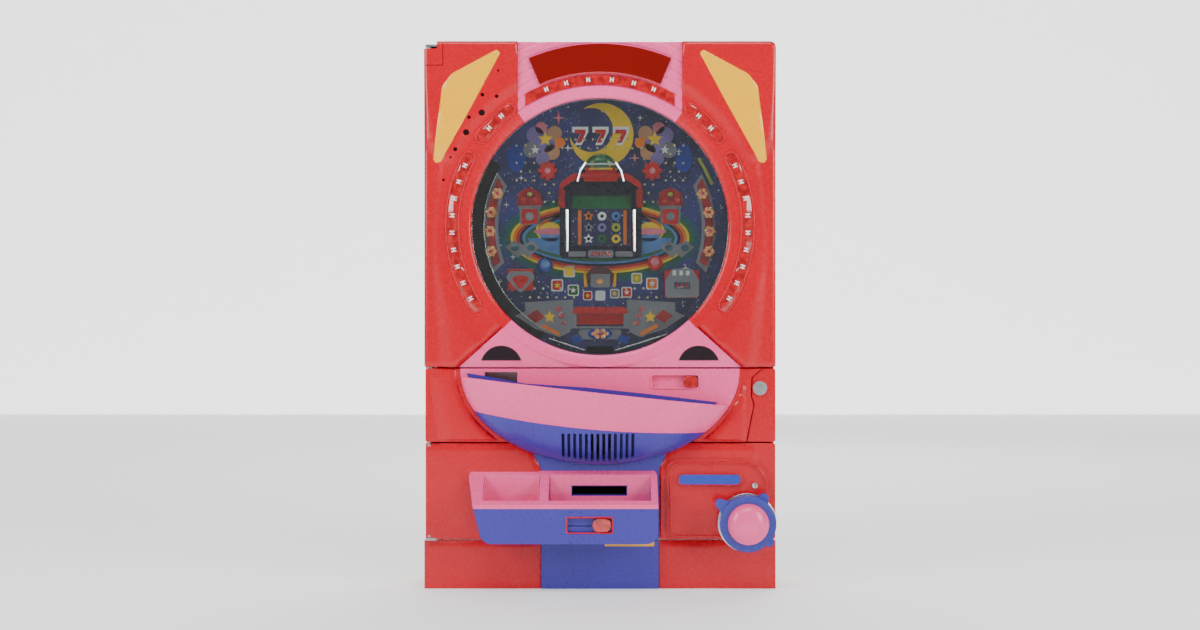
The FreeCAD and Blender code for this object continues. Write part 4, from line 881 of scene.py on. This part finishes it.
def oval(x, z, half_x, half_z, start=0, end=360, count=28):
    return [(x + half_x * math.cos(math.radians(start + (end - start) * i / count)),
             z + half_z * math.sin(math.radians(start + (end - start) * i / count)))
            for i in range(count + (end - start < 360))]


def star(x, z, outer, inner, points, turn=90):
    return [(x + (inner if i % 2 else outer) * math.cos(math.radians(turn + 180 * i / points)),
             z + (inner if i % 2 else outer) * math.sin(math.radians(turn + 180 * i / points)))
            for i in range(2 * points)]


# %% Rainbow rings, moon and numerals
ink(oval(0, 520, 150, 66), "ink_teal", 1, True)
ink(oval(0, 520, 140, 58), "ink_green", 2, True)
RAINBOW = ("ink_moon", "ink_orange", "ink_red", "ink_navy", "ink_sky")
for side in (0, 180):
    for i, colour in enumerate(RAINBOW):
        outer = oval(0, 520, 134 - 4.5 * i, 53 - 3.6 * i, side - 90, side + 90)
        inner = oval(0, 520, 130 - 4.5 * i, 49.6 - 3.6 * i, side + 90, side - 90, 28)
        ink(outer + inner, colour, 3 + i % 2, True)
        outer = oval(0, 532, 96 - 3.5 * i, 36 - 3 * i, side - 90, side + 90)
        inner = oval(0, 532, 93 - 3.5 * i, 33.2 - 3 * i, side + 90, side - 90, 28)
        ink(outer + inner, colour, 3 + i % 2, True)
ink(oval(0, 520, 108, 30, 180, 360), "ink_sky", 6, True)
moon = [point for point in circle(2.5, 674.5, 47.6, 72)
        if math.dist(point, (-13.5, 682)) > 33.0]
turns = [math.atan2(z - 674.5, x - 2.5) for x, z in moon]
gap = max(range(len(moon)), key=lambda i: (turns[i] - turns[i - 1]) % math.tau)
moon = moon[gap:] + moon[:gap]
hollow = [point for point in circle(-13.5, 682, 33, 60) if math.dist(point, (2.5, 674.5)) < 47.6]
turns = [math.atan2(z - 682, x + 13.5) for x, z in hollow]
gap = max(range(len(hollow)), key=lambda i: (turns[i] - turns[i - 1]) % math.tau)
ink(moon + (hollow[gap:] + hollow[:gap])[::-1], "ink_moon", 2)
SEVEN = [(-10, 12), (10.5, 12), (10.5, 5.5), (2, -12), (-6.5, -12), (1.5, 4.5), (-10, 4.5)]
for x in (-30, 0.5, 31):
    ink([(x + px * 1.18, 673 + pz * 1.14) for px, pz in SEVEN], "ink_white", 4)
    ink([(x + px * 0.8, 672.6 + pz * 0.82) for px, pz in SEVEN], "ink_red", 6)

# %% Clouds, stars and planets
CLOUD = ((0, 0, 17, "ink_lilac"), (-15, 9, 13, "ink_lilac"), (14, 12, 11, "ink_tan"),
         (-21, -13, 12, "ink_grey"), (10, -16, 12, "ink_tan"), (-6, 20, 9, "ink_pink"),
         (-4, -26, 10, "ink_lilac"), (22, -2, 8, "ink_orange"))
for side in (-1, 1):
    for i, (dx, dz, radius, colour) in enumerate(CLOUD):
        ink(circle(side * (82 - dx), 665 + dz, radius), colour, 2 + i % 4)
    ink(star(side * 82, 668, 12, 5.4, 5), "ink_moon", 7)
    ink(star(side * 97, 652, 7, 3, 5), "ink_white", 7)
    ink(oval(side * 74, 529, 17, 15), "ink_moon", 5)
    ink(oval(side * 74, 527, 16.5, 12, 180, 360), "ink_sky", 6)
    ink(oval(side * 74, 530, 25, 5), "ink_pink", 7)
    ink(oval(side * 125, 640, 13, 22), "ink_blue", 1)
SPARKS = ((-62, 700, 10), (-48, 655, 6), (52, 640, 8), (118, 650, 5), (-118, 610, 5), (60, 700, 5),
          (-140, 570, 5), (128, 475, 6), (-130, 492, 5), (-30, 610, 5), (140, 455, 6), (-150, 455, 5))
for x, z, size in SPARKS:
    ink(star(x, z, size, size * 0.22, 4), "ink_pink" if size > 7 else "ink_white", 5)

# %% Icons beside the start pocket
ICONS = ((-64, 449.5, 9, "ink_red"), (-40, 442, 8.5, "ink_green"), (-18.5, 434, 7, "ink_red"),
         (0.5, 434, 7.5, "ink_white"), (22, 437, 7, "ink_grey"), (40, 439, 8, "ink_red"),
         (55, 460, 8, "ink_lime"), (78, 452, 9, "ink_orange"), (-46, 470, 8.5, "ink_moon"))
for i, (x, z, half, colour) in enumerate(ICONS):
    square = rounded([(x - half, z - half, 3), (x + half, z - half, 3), (x + half, z + half, 3),
                      (x - half, z + half, 3)], 3)
    ink(square, "ink_white", 4)
    ink([(x + (px - x) * 0.8, z + (pz - z) * 0.8) for px, pz in square], colour, 6)
    ink(star(x, z, half * 0.55, half * 0.26, 5), "ink_white" if i % 2 else "ink_moon", 8)
# Painted shadow: a thin black film on the board between radius 173.6 and 189.6 along the lower left of the
# window, standing in for the shade the guide rails cast on the board.
rail_shadow_strip = ring([(173.6, BOARD + 0.2), (189.6, BOARD + 0.2), (189.6, BOARD - 0.6), (173.6, BOARD - 0.6)],
            -152, -58)
art.append((rail_shadow_strip, "black_plastic"))
gather("printed_art_and_rail_shadow", art, "main_frame")

# %% [markdown]
# ## Display unit
# The middle fitting frames the screen: a dark bezel, chrome uprights, a red roof with side
# lamps and a green dome. The screen shows a grid of plain shapes between two orange columns.

# %% Display unit
dark = rounded([(-60, 489.5, 8), (62, 489.5, 8), (62, 570, 3), (57, 600, 6), (40, 608, 4),
                (28, 622, 3), (-26, 622, 3), (-38, 608, 4), (-55, 600, 6), (-60, 570, 3)])
bezel = carve(plate(dark, BOARD, -57, 2.5), block(-42.6, 46, -80, -40, 508, 584))
unit = [(bezel, "ink_navy")]
roof = rounded([(-62, 590, 3), (-42, 604, 6), (-27, 610, 3), (29, 610, 3), (44, 604, 6), (64, 590, 3),
                (60, 603, 4), (42, 616, 6), (-40, 616, 6), (-58, 603, 4)])
unit.append((plate(roof, -50, -60.5, 2.0), "ink_red"))
unit.append((plate(rounded([(-25, 604, 3), (27, 604, 3), (23, 625, 3), (-21, 625, 3)]), -50, -59.5, 2),
             "field_trim"))
for side in (-1, 1):
    lamp = rounded([(1 + side * 53, 564, 2), (1 + side * 63, 566, 2), (1 + side * 63, 594, 2),
                    (1 + side * 53, 592, 2)])
    unit.append((plate(lamp, BOARD, -60, 1.6), "red_lens"))
    unit.append((bead([(1 + side * 50, -57.5, 500), (1 + side * 50, -58.5, 562)], 2.4), "chrome"))
    unit.append((bead([(1 + side * 34, -60, 604), (1 + side * 30, -60, 620), (1 + side * 22, -60, 632)],
                      1.8), "chrome"))
    unit.append((plate(rounded([(1 + side * 22, 492, 2), (1 + side * 48, 492, 2), (1 + side * 48, 500, 2),
                                (1 + side * 22, 500, 2)]), BOARD, -59, 1.2), "silver_trim"))
unit.append((ball(1, -49, 630, (22, 11, 16), 24), "ink_green"))
unit += [(bead([(1 + 22.4 * math.cos(t / 8 * math.pi), -50 - 11 * math.sin(t / 8 * math.pi), z)
                for t in range(9)], 1.4), colour)
         for z, colour in ((630, "ink_white"), (623, "ink_moon"))]
unit += [(bead([(1 + dx, -50, 614), (1 + dx * 0.9, -59, 630), (1 + dx * 0.3, -54, 644)], 1.0),
          "ink_lime") for dx in (-14, -5, 5, 14)]
unit.append((plate(rounded([(-18, 490.5, 4), (20, 490.5, 4), (20, 502, 4), (-18, 502, 4)]), -50, -59, 1.5),
             "ink_grey"))
unit += [(ball(x, -59, 496.4, (3.6, 1.6, 3.2), 12), "red_lens") for x in (-11, -3, 5, 13)]
gather("display_unit", unit, "main_frame", ["display_housing"])

# %% Screen
picture = [(block(-47.7, 50.7, -46, -27.5, 502.3, 587.7), "screen_print"),
           (block(-42.6, 46, -46.3, -45.5, 564, 584), "ink_green")]
SHOWN = ((-17, 553, "ink_orange"), (3, 553, "ink_white"), (24, 553, "ink_sky"), (-17, 536, "ink_grey"),
         (3, 536, "ink_lilac"), (24, 536, "ink_lime"), (-17, 519, "ink_white"), (3, 519, "ink_green"),
         (24, 519, "ink_moon"))
for i, (x, z, colour) in enumerate(SHOWN):
    outline = circle(x, z, 6.6, 16) if i % 3 else star(x, z, 8, 4, 5)
    picture.append((flat(outline, -45.8, -46.4), colour))
    picture.append((flat(circle(x, z, 2.6, 12), -45.8, -46.6), "ink_navy"))
for x0, x1 in ((-33, -28), (35, 40)):
    picture.append((block(x0, x1, -46.6, -45.5, 510, 562, 0.5), "ink_orange"))
gather("display_picture", picture, "main_frame", ["display_screen"])

# %% [markdown]
# ## Fittings on the board
# The small fittings are mouldings pinned to the board: lamp strips with orange flowers, red
# lamp houses, spinners, ball pockets, a prize gate with wings, and the nails that scatter the
# balls. Each nail is one turned pin with a flat head.

# %% Lamp strips, houses and side fittings
fittings = []
for side in (-1, 1):
    strip = arc(172, side * 62, side * 113) + arc(152, side * 110, side * 66)
    fittings.append((plate(strip, BOARD, -54.6, 2.0), "silver_trim"))
    inlay = arc(169, side * 64, side * 110) + arc(157, side * 109, side * 67)
    fittings.append((plate(inlay, -50, -55.6, 1.5), "red_lens"))
    for x, z in ((154, 586), (163.5, 558), (165, 530), (163.5, 500)):
        fittings += [(ball(side * (x - 1) + 5.2 * math.cos(t), -56, z + 5.2 * math.sin(t),
                           (3.6, 2.2, 3.6), 10), "orange_lamp")
                     for t in (math.tau * i / 6 for i in range(6))]
        fittings.append((ball(side * (x - 1), -56.6, z, (3.4, 2.2, 3.4), 10), "ink_red"))
    middle = side * 105
    house = rounded([(middle - 15, 540, 4), (middle + 15, 540, 4), (middle + 15, 562, 2),
                     (middle + 20, 572, 4), (middle + 13, 590, 8), (middle - 13, 590, 8),
                     (middle - 20, 572, 4), (middle - 15, 562, 2)])
    fittings.append((plate(house, BOARD, -54, 2.0), "silver_trim"))
    hood = rounded([(middle - 20, 568, 3), (middle + 20, 568, 3), (middle + 16, 588, 8), (middle, 596, 8),
                    (middle - 16, 588, 8)])
    fittings.append((plate(hood, -50, -58.5, 2.5), "red_lens"))
    fittings += [(ball(middle + dx, -58.5, 576, (5, 2, 4), 12), "ink_red") for dx in (-9, 9)]
    fittings.append((ball(middle, -58, 585, (4, 2, 3), 12), "ink_lime"))
    door = rounded([(middle - 12, 541, 3), (middle + 12, 541, 3), (middle + 12, 563, 3),
                    (middle - 12, 563, 3)])
    fittings.append((plate(door, -50, -56, 1.5), "ink_red"))
    fittings.append((ball(middle, -56, 552, (6.5, 2.5, 6.5), 14), "silver_trim"))
    wing = [(side * 90, 506), (side * 101, 516), (side * 115, 510), (side * 129, 516), (side * 141, 506),
            (side * 122, 490), (side * 115, 497), (side * 108, 490)]
    fittings.append((plate(wing, BOARD, -56, 3.0), "silver_trim"))
    fittings += [(ball(side * x, -56, 505, (6, 1.8, 4.5), 12), "ink_teal") for x in (103, 127)]
# A navy ball and a red ball. The smaller, paler sphere set higher and in front on each (ink_sky on the
# blue, ink_pink on the red) is a painted highlight.
fittings.append((ball(-82, -54, 479, (11.5, 7, 11.5), 20), "ink_blue"))
fittings.append((ball(-82, -58, 481, (7, 5, 7), 16), "ink_sky"))
fittings.append((ball(82, -54, 482.5, (11.5, 7, 11.5), 20), "ink_red"))
fittings.append((ball(82, -58, 484.5, (7, 5, 7), 16), "ink_pink"))
gather("board_fittings", fittings, "main_frame", ["playfield_lamps"])
stop = [(147, -51, 639), (157, -51, 622), (168, -51, 600)]
gather("rubber_stop", [(bead(stop, 2.8), "ink_lime")], "main_frame")

# %% Pockets and the prize gate
gate = []
shield = rounded([(-118, 437, 5), (-140, 460, 6), (-134, 470, 5), (-102, 470, 5), (-96, 460, 6)])
gate.append((plate(shield, -58, -66, 2.0), "silver_trim"))
heart = rounded([(-118, 442, 4), (-134, 461, 6), (-118, 464, 3), (-102, 461, 6)])
gate.append((plate(heart, -60, -66.7, 1.5), "ink_red"))
counter = rounded([(97, 431, 5), (147, 431, 5), (147, 458, 10), (136, 474, 6), (108, 474, 6),
                   (97, 458, 10)])
gate.append((plate(counter, -58, -66, 2.0), "silver_trim"))
gate.append((block(110, 134, -66.4, -60, 444, 454, 0.6), "screen_print"))
gate += [(block(x, x + 4, -66.7, -66, 446, 452, 0.2), "red_lens") for x in (113, 120, 127)]
gate += [(block(x, x + 5, -66.4, -60, 464, 471, 0.6), "ink_white") for x in (108, 118, 128)]
for side in (-1, 1):
    wing = [(side * 126, 404), (side * 94, 419), (side * 62, 421), (side * 44, 408), (side * 44, 380),
            (side * 60, 372), (side * 96, 384)]
    gate.append((plate(wing, -50, -62.6, 2.5), "silver_trim"))
    gate.append((plate([(side * 108, 404), (side * 94, 413), (side * 82, 402), (side * 96, 393)], -60,
                       -64, 1.2), "red_lens"))
    gate += [(ball(side * x, -62.6, z, (4, 1.8, 4), 12), "red_lens")
             for x, z in ((62, 414), (58, 404), (54, 393))]
    gate.append((plate(star(side * 75, 402, 9, 4.4, 5), -60, -63.8, 0.8), "ink_moon"))
    gate.append((plate([(side * 88, 388), (side * 84, 392), (side * 58, 378), (side * 62, 374)], -60,
                       -63.6, 0.8), "ink_orange"))
    gate.append((plate(rounded([(side * 40, 362, 2), (side * 24, 366, 2), (side * 30, 376, 2),
                                (side * 44, 372, 2)]), -50, -58, 1.2), "ink_blue"))
gate.append((plate(rounded([(-42, 407, 3), (42, 407, 3), (38, 417, 4), (-38, 417, 4)]), -50, -62, 1.5),
             "ink_red"))
gate.append((plate(oval(0, 377, 18, 9), -50, -60, 2.0), "ink_blue"))
gate += [(ball(9.0 * math.cos(t), -60, 377 + 5 * math.sin(t), (4, 2, 3.4), 10), "orange_lamp")
         for t in (math.tau * i / 6 for i in range(6))]
gate.append((ball(0, -60.5, 377, (4, 2, 3), 10), "ink_red"))
arch = oval(0, 459, 21, 19, -20, 200, 20) + oval(0, 456, 13, 11, 200, -20, 20)
gate.append((plate(arch, -50, -61.6, 1.6), "ink_brown"))
gate.append((ball(0, -58, 455, (11, 4, 8), 16), "orange_lamp"))
gather("prize_gate", gate, "main_frame")
soften("centre_pockets", finish="silver_trim")

# %% Spinners
SPINNER_X = 78
SPINNER_Z = 620
BLADES = 8
for name, side in (("spinner_left", -1), ("spinner_right", 1)):
    x, z = side * SPINNER_X, SPINNER_Z
    rotor = [(lathe([(1.1, -51.6), (10.5, -51.8), (12.4, -54), (12.4, -57), (10.5, -59), (5, -59.6),
                     (1.1, -59.6)], x, z, 24), "ink_red")]
    rotor += [(turned(block(x + 9, x + 14.8, -59, -53, z - 2.6, z + 2.6, 1.2), 360 / BLADES * i, x, z),
               "ink_red") for i in range(BLADES)]
    rotor.append((lathe([(1.1, -58), (4.6, -59), (4.6, -61), (1.1, -61.4)], x, z, 16), "ink_pink"))
    gather(name + "_rotor", rotor, name, [name])

# %% Nails
NAIL_PITCH = 13
NAIL_ZONES = ((-124, -96, 70, 132), (98, 130, 70, 132), (-56, 62, 118, 134), (-104, -32, -104, -84),
              (32, 88, -104, -84), (-82, -64, 38, 64), (66, 84, 38, 64))
spots = [(side * SPINNER_X, SPINNER_Z) for side in (-1, 1)]
for x0, x1, low, high in NAIL_ZONES:
    for row in range(int((high - low) / NAIL_PITCH) + 1):
        shift = NAIL_PITCH / 2 if row % 2 else 0
        for column in range(int((x1 - x0 - shift) / NAIL_PITCH) + 1):
            spots.append((x0 + shift + column * NAIL_PITCH, WINDOW_Z + low + row * NAIL_PITCH))
pins = [lathe([(0, -45), (0.9, -45), (0.9, -61.2), (1.8, -61.6), (1.6, -62.8), (0, -63)], x, z, 8)
        for x, z in spots]
gather("nails", [(merge(*pins), "nail_heads")], "main_frame", ["playfield_nails"])
print("nails", len(spots))

# %% [markdown]
# ## Trays
# The upper tray is a bowl hung on its own door, pink above and violet below, with a slash-like
# opening and a grille of slots. The red panels beside it follow the bowl with a soft rim and
# fold back along a crease. The lower tray is a violet box with a pink sloping top, a pink
# trough and an ash dish at its left.

# %% Red panels beside the bowl
def bowl_side(side, outer):
    """Panel between the side edge and the bowl; it stands on the tray door."""
    edge = [(side * 212 * math.sin(math.radians(t)), 324 - 146 * math.cos(math.radians(t)))
            for t in range(45, 92, 4)]
    edge = [point for point in edge if point[1] < 325]
    path = [(outer, 325), (outer, 219.5), (edge[0][0], 219.5)] + edge + [(edge[-1][0], 325)]

    def front(x, z):
        fold = 234 - 16 * (326 - z) / 108
        return -91.4 + 0.17 * max(0, abs(x) - fold)
    return plate(path, -87, front, 3.0, 6)


side_panels = [(bowl_side(-1, -257.5), "red_panel"), (bowl_side(1, 216), "red_panel")]
gather("tray_side_fronts", side_panels, "tray_door")
for name in ("tray_lip", "tray_bowl", "lower_tray_body", "lower_tray_rim", "tray_release_button",
             "lower_release_button"):
    soften(name, 1.2, 3)
lip = [(-194, 319), (-160, 309), (-111, 298), (-20, 292), (71, 283), (170, 276)]
inside = [(-196, 319.4), (-160, 313.5), (-111, 304), (-20, 298), (71, 288.5), (172, 276.5)]
inside += [(x, z - 6) for x, z in reversed(lip)]
gather("bowl_inside", [(flat(inside, -87.5, -89.4), "violet_panel")], "tray_door")
gather("release_rim", [(bead([(x, -88.6, z) for x, z in
                              rounded([(75, 297, 5), (146, 297, 5), (146, 317, 5), (75, 317, 5)])],
                             1.2, True), "pink_panel")], "tray_door")

# %% Trough, ash dish and recess of the lower tray
liner = [(carve(block(-73, 74, -93.2, -91.8, 101, 170), block(-42, 40, -96, -90, 139, 154)), "pink_panel"),
         (block(-73, 74, -143, -92, 100, 101.2), "pink_panel"),
         (block(-43, 41, -94.0, -92, 154, 156, 0.6), "pink_panel")]
for x in (-75.1, 74.1):
    cheek_wall = block(x, x + 1, -143, -92, 100, 176)
    liner.append((trim(cheek_wall, (0, -84, 174.5), (0, -0.563, 0.826)), "pink_panel"))
gather("trough_lining", liner, "main_frame")
soften("ashtray_cup", 1.2, 3, finish="pink_panel")
recess = rounded([(-48, 91, 3), (18, 91, 3), (18, 113.5, 3), (-48, 113.5, 3)])
gather("recess_rim", [(bead([(x, -150, z) for x, z in recess], 1.1, True), "red_panel")], "main_frame")

# %% [markdown]
# ## Lower panel, handle plate and skirt
# Below the trays the red mouldings fold back in two long creases. The handle sits on its own
# raised plate with a blank blue badge, and the violet middle runs down to the floor.

# %% Lower panel
def lower_side(side):
    neck = [(side * 119, 215.5), (side * 110, 211), (side * 103, 206), (side * 98, 200), (side * 91, 186),
            (side * 88.5, 176), (side * 88.5, 75)]
    path = [(side * 257.5, 75), (side * 257.5, 215.5)] + neck
    if side > 0:
        path = [(233, 75), (233, 215.5)] + neck

    def front(x, z):
        fold = 207 - 0.36 * (161 - z) if z < 161 else 207
        drop = 0.05 * max(0, abs(x) - fold)
        return -86.4 + min(2.6, drop)
    return plate(path, -83, front, 2.6, 6)


def skirt_side(side):
    path = [(side * 257.5, 2), (side * 257.5, 71), (side * 90, 71), (side * 90, 2)]

    def front(x, z):
        fold = 149 + 0.36 * z
        return -80.6 + min(2.4, 0.06 * max(0, abs(x) - fold))
    return plate(path, -77, front, 2.4, 6)


gather("lower_fronts", [(lower_side(-1), "red_panel"), (lower_side(1), "red_panel")], "main_frame")
gather("skirt_fronts", [(skirt_side(-1), "red_panel"), (skirt_side(1), "red_panel")], "main_frame")

# %% Handle plate with its blank badge
board = rounded([(98, 75.5, 21), (250, 75.5, 8), (250, 193, 45), (98, 193, 21)], 8)
handle = [(plate(board, -84, -93.6, 3.4), "red_panel")]
inner = rounded([(103, 80, 17), (245, 80, 6), (245, 188, 40), (103, 188, 17)], 8)
handle.append((bead([(x, -93.4, z) for x, z in inner], 0.9, True), "red_panel"))
pill = rounded([(115, 155, 8), (207.5, 155, 8), (207.5, 171, 8), (115, 171, 8)], 6)
handle.append((plate(pill, -92, -95.2, 1.2), "ink_blue"))
handle.append((bead([(x, -94.2, z) for x, z in pill], 0.8, True), "red_panel"))
handle.append((lathe([(0, -92), (4.2, -92), (4.2, -94.2), (3.4, -94.8), (2.3, -94.2), (0, -93.9)], 228, 154,
                     16), "zinc_steel"))
gather("handle_plate_front", handle, "main_frame", ["handle_plate"])
soften("handle_cap", 2.0, 3)
gather("handle_ring", [(lathe([(38, -95), (43, -96), (43.6, -99), (43, -102), (38, -102)], 215, 101.5,
                              48), "chrome")], "main_frame")
print("tray and lower front pieces done")

# %% [markdown]
# ## Guide rails, housings and the back
# The polished steel strips that guide the ball are bent sheet, so they keep their CAD shape.
# The circuit cases at the back show green boards with their parts, and the tank above them
# carries the spare balls. Boards, ribs and screws are laid out by loops.

# %% Rails and the remaining plain pieces
for name in ("guide_rails", "circuit_cases", "ball_tank", "payout_case", "rear_cover", "window_spacer"):
    soften(name, 0.4, 2)

# %% Ribs, boards, screws and vents of the back
FINISH["board_green"] = gloss_plastic("circuit_board", srgb(20, 82, 40), rough=0.4, peel=0.1, drift=0.2)
back = []
for x0, x1, z0, z1, y in ((-124, 104, 256, 414, 56), (-184, -6, 121, 229, 60), (26, 184, 121, 219, 66)):
    back.append((block(x0, x1, y - 0.5, y + 1.2, z0, z1, 0.4), "board_green"))
    count = int((x1 - x0) / 22)
    for i in range(count):
        x = x0 + 12 + i * (x1 - x0 - 24) / max(1, count - 1)
        tall = 8 + 5 * ((i * 7) % 4)
        back.append((block(x - 6, x + 6, y + 1, y + 4.5, z1 - 22 - tall, z1 - 22, 0.8), "black_plastic"))
        back.append((block(x - 4, x + 4, y + 1, y + 5.5, z0 + 12, z0 + 20, 0.8), "white_plastic"))
        back.append((lathe([(0, y + 1), (4, y + 1), (4, y + 6), (3.2, y + 7), (0, y + 7)], x,
                           (z0 + z1) / 2 - 8, 12), "zinc_steel"))
    for x in (x0 - 2, x1 + 2):
        for z in (z0 - 1, z1 + 1):
            back.append((lathe([(0, y), (3.4, y), (3.2, y + 1.6), (2, y + 2.4), (0, y + 2.4)], x, z, 12),
                         "zinc_steel"))
gather("circuit_details", back, "main_frame")

cover = [(block(-120, 104, 91.5, 94.5, z, z + 3, 0.8), "white_plastic") for z in range(462, 664, 14)]
cover += [(lathe([(0, 92), (4.2, 92), (4, 94), (2.6, 95), (0, 95)], x, z, 14), "zinc_steel")
          for x in (-132, 116) for z in (450, 562, 674)]
gather("rear_cover_ribs", cover, "rear_cover")

case = [(block(143, 187, 83.5, 85.5, z, z + 2.4, 0.7), "white_plastic") for z in range(252, 592, 16)]
gather("payout_ribs", case, "main_frame")
frame_screws = [(lathe([(0, 43.5), (4, 43.5), (3.8, 45), (2.4, 46), (0, 46)], x, z, 12), "zinc_steel")
                for x in (-230, 218) for z in (110, 240, 420, 600, 770)]
gather("mechanism_screws", frame_screws, "main_frame")
print("rear details done")
